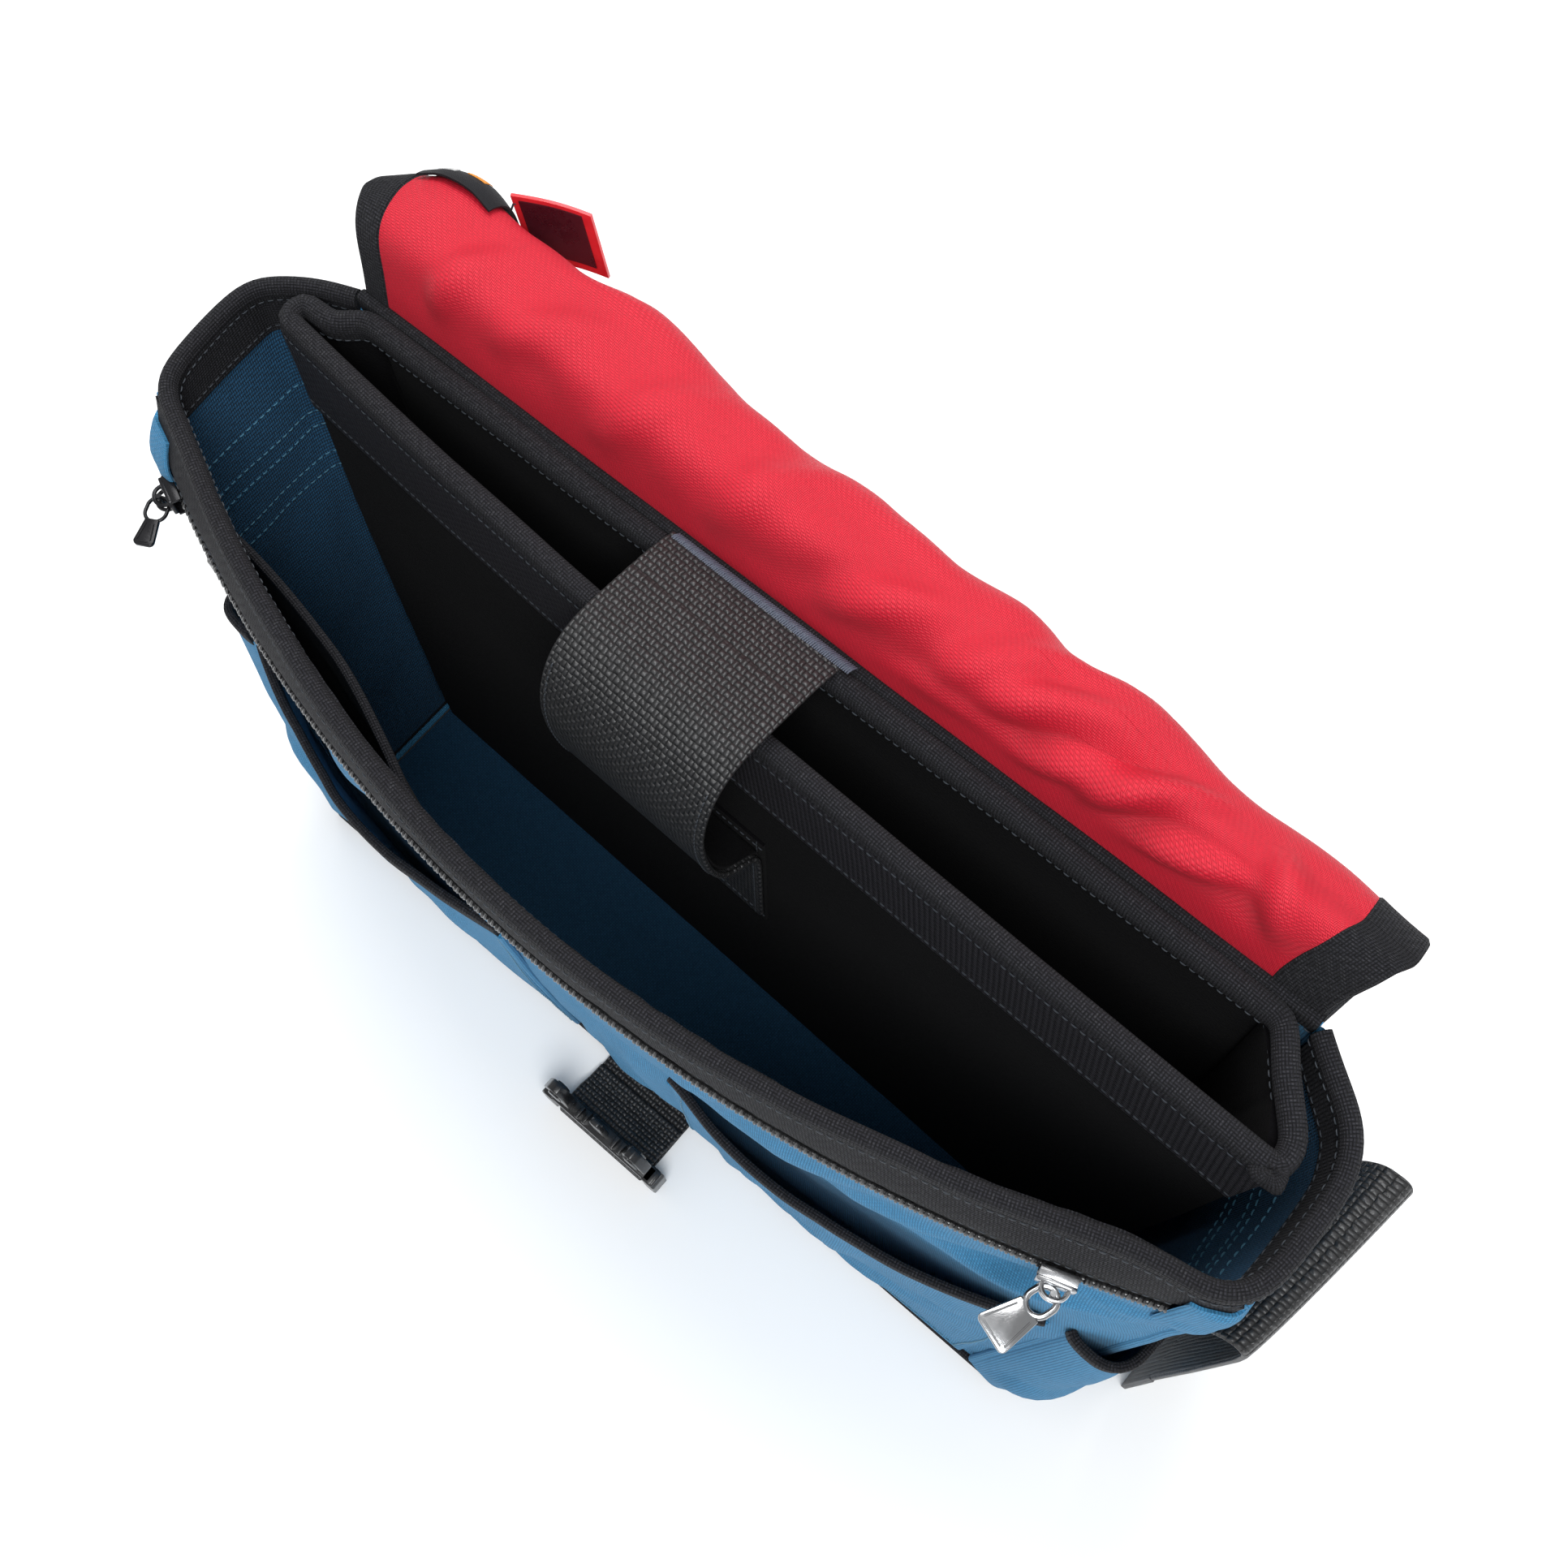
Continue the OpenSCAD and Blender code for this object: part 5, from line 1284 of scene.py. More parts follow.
def slider_frame(deg, out):
    """Axes at a place on the zip: X along it, Y out of the bag, Z up."""
    a = math.radians(deg)
    c = on_arc(a, out)
    m = np.eye(4)
    m[:3, 0] = [math.cos(a), math.sin(a), 0]
    m[:3, 1] = [math.sin(a), -math.cos(a), 0]
    m[:3, 2] = [0, 0, 1]
    m[:3, 3] = c
    return m


def slider_parts(m):
    out = []
    # body plate, tapered towards one end, lying over the coil
    plate = [(-0.0065, -0.0038), (-0.0020, -0.0046), (0.0050, -0.0042), (0.0065, -0.0026),
             (0.0065, 0.0026), (0.0050, 0.0042), (-0.0020, 0.0046), (-0.0065, 0.0038)]
    pv, pf = solid(plate, 0.0017, 0.0005, 3)
    turn = np.array([[1, 0, 0, 0], [0, 0, 1, SLIDER_OFF], [0, 1, 0, 0], [0, 0, 0, 1]], float)
    out.append(placed((pv, pf), m @ turn))
    for k in (1, -1):
        rail = [(-0.0062, 0.0), (0.0062, 0.0), (0.0062, -0.0036), (-0.0062, -0.0036)]
        rv, rf = solid(rail, 0.0009, 0.0003, 2)
        t = np.array([[1, 0, 0, 0], [0, 1, 0, SLIDER_OFF + 0.0004],
                      [0, 0, 1, 0.0036 if k > 0 else -0.0045], [0, 0, 0, 1]], float)
        out.append(placed((rv, rf), m @ t))
    # the bail: a bowed bridge over the plate that the pull hangs from
    s = np.linspace(0, math.pi, 15)
    bow = np.stack([-0.0042 * np.cos(s), SLIDER_OFF + 0.0014 + 0.0044 * np.sin(s) ** 0.8, 0 * s], 1)
    for k in (-0.0016, 0.0016):
        bv, bf = tube(bow + [0, 0, k], 0.00075, 8)
        out.append(placed((bv, bf), m))
    for x in (-0.0042, 0.0042):
        bv, bf = tube(np.array([[x, SLIDER_OFF + 0.0016, -0.0019], [x, SLIDER_OFF + 0.0016, 0],
                                [x, SLIDER_OFF + 0.0016, 0.0019]]), 0.0009, 8)
        out.append(placed((bv, bf), m))
    return out


def pull_parts(m, deg, length, width, wire=1.0):
    """A wire ring through the bail and a flat tab that widens to a round end."""
    a = math.radians(deg)
    # local: x along zip, y outwards; the pull leaves the bail outwards, turned by deg about Z
    rot = np.array([[math.cos(a), math.sin(a), 0, 0], [-math.sin(a), math.cos(a), 0, 0], [0, 0, 1, 0],
                    [0, 0, 0, 1]], float)
    L = m @ rot
    out = []
    v1, f1 = tube(np.array([[0, 0, -0.0030], [0, 0, 0], [0, 0, 0.0030]]), 0.00105, 10)
    out.append(placed((v1, f1), m))
    rv, rf = ringed(0.0040, 0.00115 * wire, 44, 10, 1.0, 0.0020)
    t = np.eye(4)
    t[1, 3] = 0.0040
    out.append(placed((rv, rf), L @ t))
    y0 = 0.0040 + 0.0010 + 0.0032
    w0, w1 = width * 0.34, width * 0.5
    pts = [(-w0, y0), (w0, y0)]
    for k in range(6):
        b = math.radians(-8 + 16 * k)
        pts.append((w1 - 0.0020 + 0.0020 * math.cos(b), y0 + length - 0.0020 + 0.0020 * math.sin(b)))
    for k in range(6):
        b = math.radians(92 + 16 * k)
        pts.append((-w1 + 0.0020 + 0.0020 * math.cos(b), y0 + length - 0.0020 + 0.0020 * math.sin(b)))
    tv, tf = solid(pts, 0.0016, 0.0004, 3)
    t = np.eye(4)
    t[2, 3] = -0.0008
    out.append(placed((tv, tf), L @ t))
    # a raised border on three sides
    top, low = y0 + length - 0.0022, y0 + 0.0022
    border = [(-w0 + 0.0012, low, -w1 + 0.0014, top), (w0 - 0.0012, low, w1 - 0.0014, top),
              (-w1 + 0.0022, y0 + length - 0.0014, w1 - 0.0022, y0 + length - 0.0014)]
    for xa, ya, xb, yb in border:
        bv, bf = tube(np.array([[xa, ya, 0.0008], [(xa + xb) / 2, (ya + yb) / 2, 0.0008],
                                [xb, yb, 0.0008]]), 0.0003, 6)
        out.append(placed((bv, bf), L))
    return out


# each slider: its place on the arc, its pull's turn, length, width and wire, and its metal
SLIDERS = {
    "right": (19.4, -38, 0.015, 0.0135, 1.0, "chrome", "zip_metal"),
    "left": (-22.6, 50, 0.0110, 0.0078, 0.6, "black_metal", "zip_black"),
}
for side, (deg, turn, length, width, wire, metal, slot) in SLIDERS.items():
    ob = joined(f"zip_slider_metal_{side}", slider_parts(slider_frame(deg, 0.0)), metal, 40)
    put(ob, f"zip_slider_{side}", slot, f"slider_{side}")
    parts = pull_parts(slider_frame(deg, BAIL_OUT), turn, length, width, wire)
    ob = joined(f"zip_pull_metal_{side}", parts, metal, 40)
    put(ob, f"zip_pull_{side}", slot, f"pull_{side}")


# ---------------------------------------------------------------- flap
def go(p, deg, length):
    return (p[0] + length * math.cos(math.radians(deg)), p[1] + length * math.sin(math.radians(deg)))


ROOT = (HALF_DEPTH + 0.0035, WALL_TOP + 0.011)
CREASE = go(ROOT, 72, 0.030)
BACK = go(CREASE, -5, 0.034)
KNEE2 = go(BACK, -86, 0.100)
TIP = go(KNEE2, -90, 0.185)
FLAP_HALF = 0.212
RISER, CROWN, TOP_F, DROP = 0.030, 0.034, 0.100, 0.185
EXTRA = 0.012
prof = run_of([(ROOT[0] - 0.0006, ROOT[1] - EXTRA), ROOT, CREASE, BACK, KNEE2, TIP], 0.0025, 0.0075)
dist = along(prof) - EXTRA
total = RISER + CROWN + TOP_F + DROP
dist = -EXTRA + (dist + EXTRA) * (total + EXTRA) / (dist[-1] + EXTRA)


def flap_surface(x, k):
    """Mid surface of the flap's cloth: x across, k the row along its profile."""
    y, z = prof[k, 0], prof[k, 1]
    t = unit(np.gradient(prof, axis=0))[k]
    n = np.stack([-t[..., 1], t[..., 0]], -1)      # towards the lining's side, up at the crown
    s = dist[k]
    roll = fade(s, 0.0, 0.020) * (1 - fade(s, 0.10, 0.17))
    hang = fade(s, 0.05, 0.12)
    wave = 0.0022 * grain(x * 9.0, s * 6, 0.2, 301) + 0.0020 * grain(x * 21, s * 15, 1.2, 302)
    wave = wave + 0.0011 * grain(x * 48, s * 40, 2.2, 303)
    lines = [(0.105, 0.020, 28, 0.075, 0.0060, 0.0034), (0.085, 0.034, 38, 0.090, 0.0070, 0.0032),
             (0.125, 0.030, 50, 0.070, 0.0055, 0.0030),
             (0.145, 0.018, 22, 0.060, 0.0050, 0.0028), (0.062, 0.030, 56, 0.080, 0.0070, 0.0028),
             (0.020, 0.024, 40, 0.080, 0.0070, 0.0026),
             (-0.03, 0.036, 62, 0.080, 0.0080, 0.0024), (-0.08, 0.030, 50, 0.085, 0.0080, 0.0024),
             (-0.125, 0.034, 35, 0.070, 0.0070, 0.0020),
             (-0.165, 0.030, 58, 0.060, 0.0060, 0.0022), (0.175, 0.030, 120, 0.060, 0.0060, 0.0026),
             (0.10, 0.060, 20, 0.090, 0.0080, 0.0022),
             (0.00, 0.066, -18, 0.110, 0.0090, 0.0022), (-0.10, 0.064, 14, 0.100, 0.0080, 0.0020),
             (0.06, 0.010, 8, 0.09, 0.0045, 0.0020)]
    puckers = ridges(x, s, lines)
    amp = roll * (wave + 1.7 * puckers) + hang * (0.0020 * grain(x * 7, s * 5, 3.3, 304)
                                                  + 0.0009 * grain(x * 20, s * 12, 4.3, 305))
    ends = 1 - 0.55 * fade(np.abs(x), FLAP_HALF - 0.03, FLAP_HALF)
    amp = amp * ends * fade(s, -0.004, 0.014)
    back = fade(s, 0.026, 0.060) * (1 - fade(s, 0.10, 0.19))
    draw = np.interp(x, [-0.212, -0.203, -0.193, -0.18, -0.13, -0.041, 0.009, 0.057, 0.128, 0.19, 0.212],
                     [-0.015, -0.007, -0.001, 0.001, 0.001, -0.005, -0.009, -0.006, -0.009, -0.014, -0.015])
    inset = 1 - 0.045 * (1 - fade(s, 0.0, 0.05))
    sink = 0.003 * fade(x, 0.1, 0.21) * fade(s, 0.015, 0.04) * (1 - fade(s, 0.08, 0.15))
    return np.stack([x * inset, y + n[..., 0] * amp + draw * back, z + n[..., 1] * amp - sink], -1), n


cols_x = np.linspace(-FLAP_HALF + 0.0005, FLAP_HALF - 0.0005, 150)
K_, X_ = np.meshgrid(np.arange(len(prof)), cols_x, indexing="ij")
MID, _ = flap_surface(X_, K_)
SN = grid_normals(MID)
if (SN[len(prof) // 8, 75] * np.array([0, 0, 1.0])).sum() < 0:
    SN = -SN
JOINS = [("bag", "flap_riser", ROOT, -0.008, 0.009), ("flap_riser", "flap_crown", CREASE, -0.012, 0.012),
         ("flap_crown", "flap_top", BACK, -0.014, 0.022), ("flap_top", "flap_drop", KNEE2, -0.030, 0.030)]
CUTS = [-1.0, 0.5 * (0.009 + RISER - 0.012), RISER + 0.5 * (0.012 + CROWN - 0.014),
        RISER + CROWN + 0.5 * (0.022 + TOP_F - 0.030), 9.0]


def flap_pieces(stem, P, thick, mat, slot, rows, replaces=(), declare=True, flip=False):
    """Cuts one long cloth into four pieces, each spanning one joint of the flap."""
    n, m = P.shape[:2]
    N = grid_normals(P) * (-1 if flip else 1)
    u = np.broadcast_to(dist[rows][:, None], (n, m))
    vv = np.concatenate([np.zeros((n, 1)), np.cumsum(np.linalg.norm(np.diff(P, axis=1), axis=2), 1)], 1)
    out = []
    for q in range(len(JOINS)):
        inside = [i for i in range(n) if CUTS[q] <= dist[rows][i] <= CUTS[q + 1]]
        if len(inside) < 2:
            continue
        i0, i1 = inside[0], inside[-1]
        if i1 < n - 1:
            i1 += 1
        Q = P[i0:i1 + 1]
        coords = np.stack([u[i0:i1 + 1], vv[i0:i1 + 1] - vv.mean()], -1)
        ob = shell(f"{stem}_{q + 1}", Q, thick, mat, coords=coords, flip=flip)
        # the whole cloth's own normals, so that no seam shows between pieces
        NN = N[i0:i1 + 1].reshape(-1, 3)
        nf = (Q.shape[0] - 1) * (m - 1)
        me = ob.data
        custom = np.zeros((len(me.loops), 3))
        loops = np.zeros(len(me.loops), int)
        me.loops.foreach_get("vertex_index", loops)
        k = Q.shape[0] * m
        face_of = np.zeros(len(me.loops), int)
        for poly in me.polygons:
            face_of[poly.loop_start:poly.loop_start + poly.loop_total] = poly.index
        front, back = face_of < nf, (face_of >= nf) & (face_of < 2 * nf)
        custom[front] = NN[loops[front] % k]
        custom[back] = -NN[loops[back] % k]
        rest = ~(front | back)
        pn = np.array([poly.normal[:] for poly in me.polygons])
        custom[rest] = pn[face_of[rest]]
        me.normals_split_custom_set([tuple(c) for c in custom])
        nodes = [r for r in replaces if r[0] == q]
        put(ob, None, slot, *[r[1] for r in nodes])
        if declare:
            as_sheet(Q)
        out.append((ob, q))
    for ob, q in out:
        blend_flap(ob)
    return out


def blend_flap(ob):
    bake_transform(ob)


rows = np.arange(len(prof))
LIN = MID + SN * 0.0009
SHE = MID - SN * 0.0009
inner = slice(2, 148)
flap_pieces("flap_lining_cloth", LIN[:, inner], 0.0009, "red", "red_lining", rows,
            [(0, "flap_riser_lining"), (1, "flap_crown_lining"), (2, "flap_top_lining"),
             (3, "flap_drop_lining")])
flap_pieces("flap_shell_cloth", SHE[:, inner], 0.0011, "blue", "blue_cloth", rows,
            [(0, "flap_riser_shell"), (1, "flap_crown_shell"), (2, "flap_top_shell"),
             (3, "flap_drop_shell")])


def edge_tape(name, side):
    """A folded tape down one side of the flap, as four pieces."""
    j = -1 if side > 0 else 0
    width = 0.020 if side > 0 else 0.013
    line = MID[:, j].copy()
    inward = np.array([-side, 0, 0.0])
    Nn = SN[:, j]
    for q in range(len(JOINS)):
        inside = [i for i in range(len(prof)) if CUTS[q] <= dist[i] <= CUTS[q + 1]]
        i0, i1 = inside[0], min(inside[-1] + 1, len(prof) - 1)
        L = line[i0:i1 + 1]
        Nq = Nn[i0:i1 + 1]
        c = L + inward * (width / 2 - 0.0015)
        T = unit(np.gradient(L, axis=0))
        sec = wide_section(width, 0.0040, 6)
        U_ = unit(Nq - (Nq * T).sum(1, keepdims=True) * T)
        # follow the cloth across the tape's width
        mid_at = MID[i0:i1 + 1]
        V = []
        for r in range(len(L)):
            xs_ = c[r, 0] + sec[:, 0]
            y_ = np.interp(xs_, mid_at[r, :, 0], mid_at[r, :, 1])
            z_2 = np.interp(xs_, mid_at[r, :, 0], mid_at[r, :, 2])
            V.append(np.stack([xs_, y_, z_2], 1) + sec[:, 1:2] * U_[r])
        V = np.array(V)
        n, m = V.shape[:2]
        ids, raw = grid_faces(n, m, False, True)
        w = along(np.vstack([sec, sec[:1]]))
        ds = dist[i0:i1 + 1]
        coords = [np.stack([ds[r[:, 0]], w[r[:, 1]]], 1) for r in raw]
        faces = [tuple(f) for f in ids] + [tuple(range(m - 1, -1, -1)),
                                           tuple((n - 1) * m + i for i in range(m))]
        coords += [sec[::-1], sec]
        ob = mesh(f"{name}_{q + 1}", V.reshape(-1, 3), faces, coords, "tape", 60)
        check_outward(ob)
        put(ob, None, "black_tape", *(["flap_edge_tape"] if q == 3 and side > 0 else []))
        blend_flap(ob)


edge_tape("flap_tape_right", 1)
edge_tape("flap_tape_left", -1)
c = MID[-1, :].copy()
c[:, 2] += 0.004
ob = sweep("flap_tape_end", c, wide_section(0.0135, 0.0042, 6) @ np.array([[0, 1], [1, 0]]), None, "tape",
           up=(0, 0, 1))
put(ob, "flap_drop", "black_tape")

# label and hang tag at the left of the roll
def on_lining(x, s, off):
    """Points on the flap's lining, x across and s along it, standing off by off."""
    k = np.interp(s, dist, np.arange(len(dist)))
    i = np.clip(np.floor(k).astype(int), 0, len(prof) - 2)
    f = (k - i)[..., None]
    out = np.zeros(np.broadcast(x, s).shape + (3,))
    for idx in np.ndindex(out.shape[:-1]):
        r = i[idx]
        a_, b_ = [np.array([np.interp(x[idx], cols_x, MID[r + e, :, c]) for c in range(3)]) for e in (0, 1)]
        n_ = np.array([np.interp(x[idx], cols_x, SN[r, :, c]) for c in range(3)])
        out[idx] = a_ * (1 - f[idx]) + b_ * f[idx] + n_ * off[idx]
    return out


J, I = np.meshgrid(np.linspace(0, 1, 22), np.linspace(0, 1, 16), indexing="ij")
LX, LS = -0.2000 + 0.028 * J, 0.0545 + 0.026 * I
P = on_lining(LX, LS, 0.0024 + 0.0012 * np.sin(math.pi * J) + 0.0006 * (1 - I))
lab = shell("woven_label", P, 0.0008, "label", flip=True)
put(lab, "flap_top", "black_tape", "flap_label")
as_sheet(P)
for nm, j0, j1, i0, i1, mt in (("a", 9, 15, 3, 6, "label_mark"), ("b", 3, 8, 2, 4, "label_white"),
                               ("c", 10, 12, 7, 9, "label_white"), ("d", 14, 16, 7, 9, "label_white")):
    Q = on_lining(LX[j0:j1, i0:i1], LS[j0:j1, i0:i1], (0.0024 + 0.0012 * np.sin(math.pi * J)
                                                       + 0.0006 * (1 - I))[j0:j1, i0:i1] + 0.0006)
    put(shell(f"woven_label_mark_{nm}", Q, 0.0003, mt, flip=True), "flap_top", "black_tape")

J, I = np.meshgrid(np.linspace(0, 1, 24), np.linspace(0, 1, 18), indexing="ij")
P = np.stack([-0.1725 + 0.0275 * J + 0.0015 * I, 0.1095 + 0.0105 * J + 0.0010 * np.sin(2.5 * J)
              + 0.0015 * I, 0.3185 - 0.034 * I + 0.0008 * np.sin(3 * J)], -1)
tag = shell("card_tag", P, 0.0012, "card")
put(tag, "flap_top", "tag_card", "hang_tag")
for nm, e in (("front", -1), ("back", 1)):
    Q = P[2:-3, 1:-2] + grid_normals(P)[2:-3, 1:-2] * 0.0008 * e
    put(shell(f"card_tag_panel_{nm}", Q, 0.0004, "card_dark"), "flap_top", "tag_card")
a = P[1, 2] + [0, -0.0008, 0]
b = on_lining(np.array([-0.1735]), np.array([0.068]), np.array([0.0015]))[0]
tv = tube(np.array([a, (a + b) / 2 + [0, 0.001, 0.002], b]), 0.0004, 6)
ob = joined("tag_string", [with_coords(*tv)], "thread", 60)
put(ob, "flap_top", "tag_card")


# ---------------------------------------------------------------- closing buckle
BAR_R, WEB_T = 0.0025, 0.0016
TURN_R = BAR_R + 0.0004 + WEB_T / 2
BAR_Z = TURN_R + WEB_T / 2 + 0.0006
BAR_Y = -HALF_DEPTH - 0.034
ang = np.radians(np.linspace(270, 60, 15))
path = [(-0.0575, 0.0016), (-0.061, BAR_Z - TURN_R + 0.0003), (BAR_Y + 0.006, BAR_Z - TURN_R)]
path += [(BAR_Y + TURN_R * math.cos(a), BAR_Z + TURN_R * math.sin(a)) for a in ang]
path += [(BAR_Y + 0.0100, BAR_Z + TURN_R - 0.0012), (BAR_Y + 0.0170, BAR_Z - TURN_R + WEB_T + 0.0012),
         (BAR_Y + 0.0235, BAR_Z - TURN_R + WEB_T + 0.0003)]
q = run_of(path, 0.0012, 0.0009)
line = np.stack([np.full(len(q), BUCKLE_X), q[:, 0], q[:, 1]], 1)
ob = sweep("front_strap_webbing", line, wide_section(0.050, WEB_T, 10), (1, 0, 0), "web", sharp=60)
put(ob, None, "webbing", "front_webbing")
strap_piece = ob
row = np.stack([np.linspace(BUCKLE_X - 0.022, BUCKLE_X + 0.022, 14), np.full(14, BAR_Y + 0.0215),
                np.full(14, BAR_Z - TURN_R + WEB_T + 0.0012)], 1)
ob = stitches("front_strap_stitch", [(row, (0, 0, 1)), (row + [0, -0.003, 0.0003], (0, 0, 1))], "thread",
              0.003, 0.0021, 0.00028)
put(ob, "front_strap", "webbing")


MALE_ARM = [(0.0268, -0.0030), (0.0300, -0.0040), (0.0328, -0.0030), (0.0340, 0.0010), (0.0340, 0.0120),
            (0.0320, 0.0160), (0.0268, 0.0160)]
MALE_PRONG = [(0.0170, 0.0140), (0.0172, 0.0300), (0.0180, 0.0400), (0.0200, 0.0436), (0.0228, 0.0440),
              (0.0258, 0.0420), (0.0282, 0.0370), (0.0300, 0.0310), (0.0298, 0.0298), (0.0250, 0.0296),
              (0.0236, 0.0270), (0.0232, 0.0200), (0.0250, 0.0160), (0.0250, 0.0140)]
MALE_RIB = [(0.0190, 0.0320), (0.0192, 0.0400), (0.0215, 0.0418), (0.0245, 0.0400), (0.0262, 0.0340),
            (0.0262, 0.0320)]


def male_parts():
    """Outlines are in X and Z, given a depth along Y."""
    o = np.array([BUCKLE_X, BAR_Y, BAR_Z])
    up = np.array([[1, 0, 0, o[0]], [0, 0, 1, o[1]], [0, 1, 0, o[2]], [0, 0, 0, 1]], float)
    parts, add = moulding(up, 0.0007)
    for k in (1, -1):
        add(mirrored(MALE_ARM, k), -0.0040, 0.0040)
        add(mirrored(MALE_PRONG, k), -0.0025, 0.0025, 0.0009)
        add(mirrored(MALE_RIB, k), -0.0034, 0.0034, 0.0006)
    add([(-0.0330, 0.0095), (0.0330, 0.0095), (0.0330, 0.0155), (0.0300, 0.0160), (-0.0300, 0.0160),
         (-0.0330, 0.0155)], -0.0036, 0.0036)
    add([(-0.0035, 0.0150), (0.0035, 0.0150), (0.0030, 0.0360), (0.0018, 0.0380), (-0.0018, 0.0380),
         (-0.0030, 0.0360)], -0.0015, 0.0015, 0.0006)
    for x in (-0.0125, -0.0085, 0.0085, 0.0125):
        add([(x - 0.0009, 0.0100), (x + 0.0009, 0.0100), (x + 0.0009, 0.0205), (x - 0.0009, 0.0205)],
            -0.0030, 0.0030, 0.0004)
    parts.append(with_coords(*tube(np.array([[-0.0275, 0, 0], [0, 0, 0], [0.0275, 0, 0]]) + o, BAR_R, 20)))
    return parts


ob = joined("buckle_male_body", male_parts(), "plastic", 35)
put(ob, "closing_buckle", "buckle_plastic", "male_buckle")

# female half and its webbing, on the flap's outer side
lo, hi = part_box("female_buckle")
wlo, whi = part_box("female_webbing")
k_up = np.array([[1, 0, 0, BUCKLE_X], [0, 0, 1, lo[1]], [0, 1, 0, lo[2]], [0, 0, 0, 1]], float)
depth = hi[1] - lo[1]


def female_parts():
    parts, add = moulding(k_up, 0.0008)
    w, h = (hi[0] - lo[0]) / 2, hi[2] - lo[2]
    for y0, y1 in ((0.0, 0.0022), (depth - 0.0022, depth)):
        pts = [(-w + 0.001, 0.002), (-w + 0.004, 0.0), (-0.012, 0.0), (-0.008, 0.004), (0.008, 0.004),
               (0.012, 0.0), (w - 0.004, 0.0), (w - 0.001, 0.002), (w, 0.008), (w - 0.0008, h - 0.016),
               (w - 0.003, h - 0.003), (w - 0.006, h), (-w + 0.006, h), (-w + 0.003, h - 0.003),
               (-w + 0.0008, h - 0.016), (-w, 0.008)]
        add(pts, y0, y1)
    for k in (1, -1):
        for low, high in ((0.001, 0.013), (h - 0.014, h - 0.004)):
            side = [(w - 0.0024, low), (w, low), (w, high), (w - 0.0024, high)]
            add(mirrored(side, k), 0.001, depth - 0.001, 0.0006)
    add([(-w + 0.003, h - 0.011), (w - 0.003, h - 0.011), (w - 0.003, h - 0.0085),
         (-w + 0.003, h - 0.0085)], 0.001, depth - 0.001, 0.0005)
    add([(-w + 0.003, h - 0.0035), (w - 0.003, h - 0.0035), (w - 0.003, h), (-w + 0.003, h)], 0.0005,
        depth - 0.0005, 0.0009)
    return parts


ob = joined("buckle_female_body", female_parts(), "plastic", 35)
put(ob, "flap_drop", "buckle_plastic", "female_buckle")
zc = np.linspace(wlo[2] - 0.004, whi[2], 24)
yc = (wlo[1] + whi[1]) / 2
line = np.stack([np.full(24, BUCKLE_X), np.full(24, yc), zc], 1)
ob = sweep("female_strap_webbing", line, wide_section(0.050, WEB_T, 10), (1, 0, 0), "web", sharp=60)
put(ob, "flap_drop", "webbing", "female_webbing")
sx = BUCKLE_X
yy = yc - WEB_T / 2 - 0.0002
# a sewn box with a cross in it: two level rows, two diagonals and two upright rows
box_x, (top_z, foot_z) = 0.021, (whi[2] - 0.004, whi[2] - 0.022)
rows = [(-box_x, top_z, box_x, top_z), (-box_x, foot_z, box_x, foot_z), (-box_x, top_z, box_x, foot_z),
        (box_x, top_z, -box_x, foot_z), (-box_x, top_z, -box_x, foot_z), (box_x, top_z, box_x, foot_z)]
bx = [np.array([[sx + xa, yy, za], [sx + xb, yy, zb]]) for xa, za, xb, zb in rows]
ob = stitches("female_strap_stitch", [(b_, (0, -1, 0)) for b_ in bx], "thread", 0.0032, 0.0022, 0.0003)
put(ob, "flap_drop", "webbing")


# ---------------------------------------------------------------- shoulder strap
STRAP_W, STRAP_T = 0.075, 0.0022
STRAP_Y = (-0.0255, 0.0495)
STRAP_X = MOUTH + 0.013
EDGE = (0.0005, 0.0755)
CORNER_R, FOLD_R, STOW = 0.032, 0.0045, 0.120
RUN_Y = HALF_DEPTH + 0.0015 + 0.008
TURN_X = STRAP_X - CORNER_R


def arc(cx, cy, r, a0, a1, n=10):
    return [(cx + r * math.cos(math.radians(a)), cy + r * math.sin(math.radians(a)))
            for a in np.linspace(a0, a1, n)]


LEFT_Y = RUN_Y + 4 * FOLD_R
plan = [(STRAP_X, STRAP_Y[0])] + arc(TURN_X, RUN_Y - CORNER_R, CORNER_R, 0, 90)
plan += arc(-STOW / 2, RUN_Y + FOLD_R, FOLD_R, 270, 90) + arc(STOW / 2, RUN_Y + 3 * FOLD_R, FOLD_R, -90, 90)
plan += arc(-TURN_X, LEFT_Y - CORNER_R, CORNER_R, 90, 180) + [(-STRAP_X, STRAP_Y[0])]
q = run_of(plan, 0.0030, 0.0012)
dq = along(q)
amp = fade(dq, 0.10, 0.14) * (1 - fade(dq, dq[-1] - 0.14, dq[-1] - 0.10))
q = q + np.stack([0 * dq, 0.0006 * amp * grain(dq * 16, 0.3, 0.3, 400)], 1)
mid_z = (EDGE[0] + EDGE[1]) / 2
line = np.stack([q[:, 0], q[:, 1], np.full(len(q), mid_z)], 1)
run_piece = sweep("shoulder_webbing_run", line, wide_section(STRAP_W, STRAP_T, 18), (0, 0, 1), "web",
                  sharp=60)
put(run_piece, "bag", "webbing", "shoulder_strap")
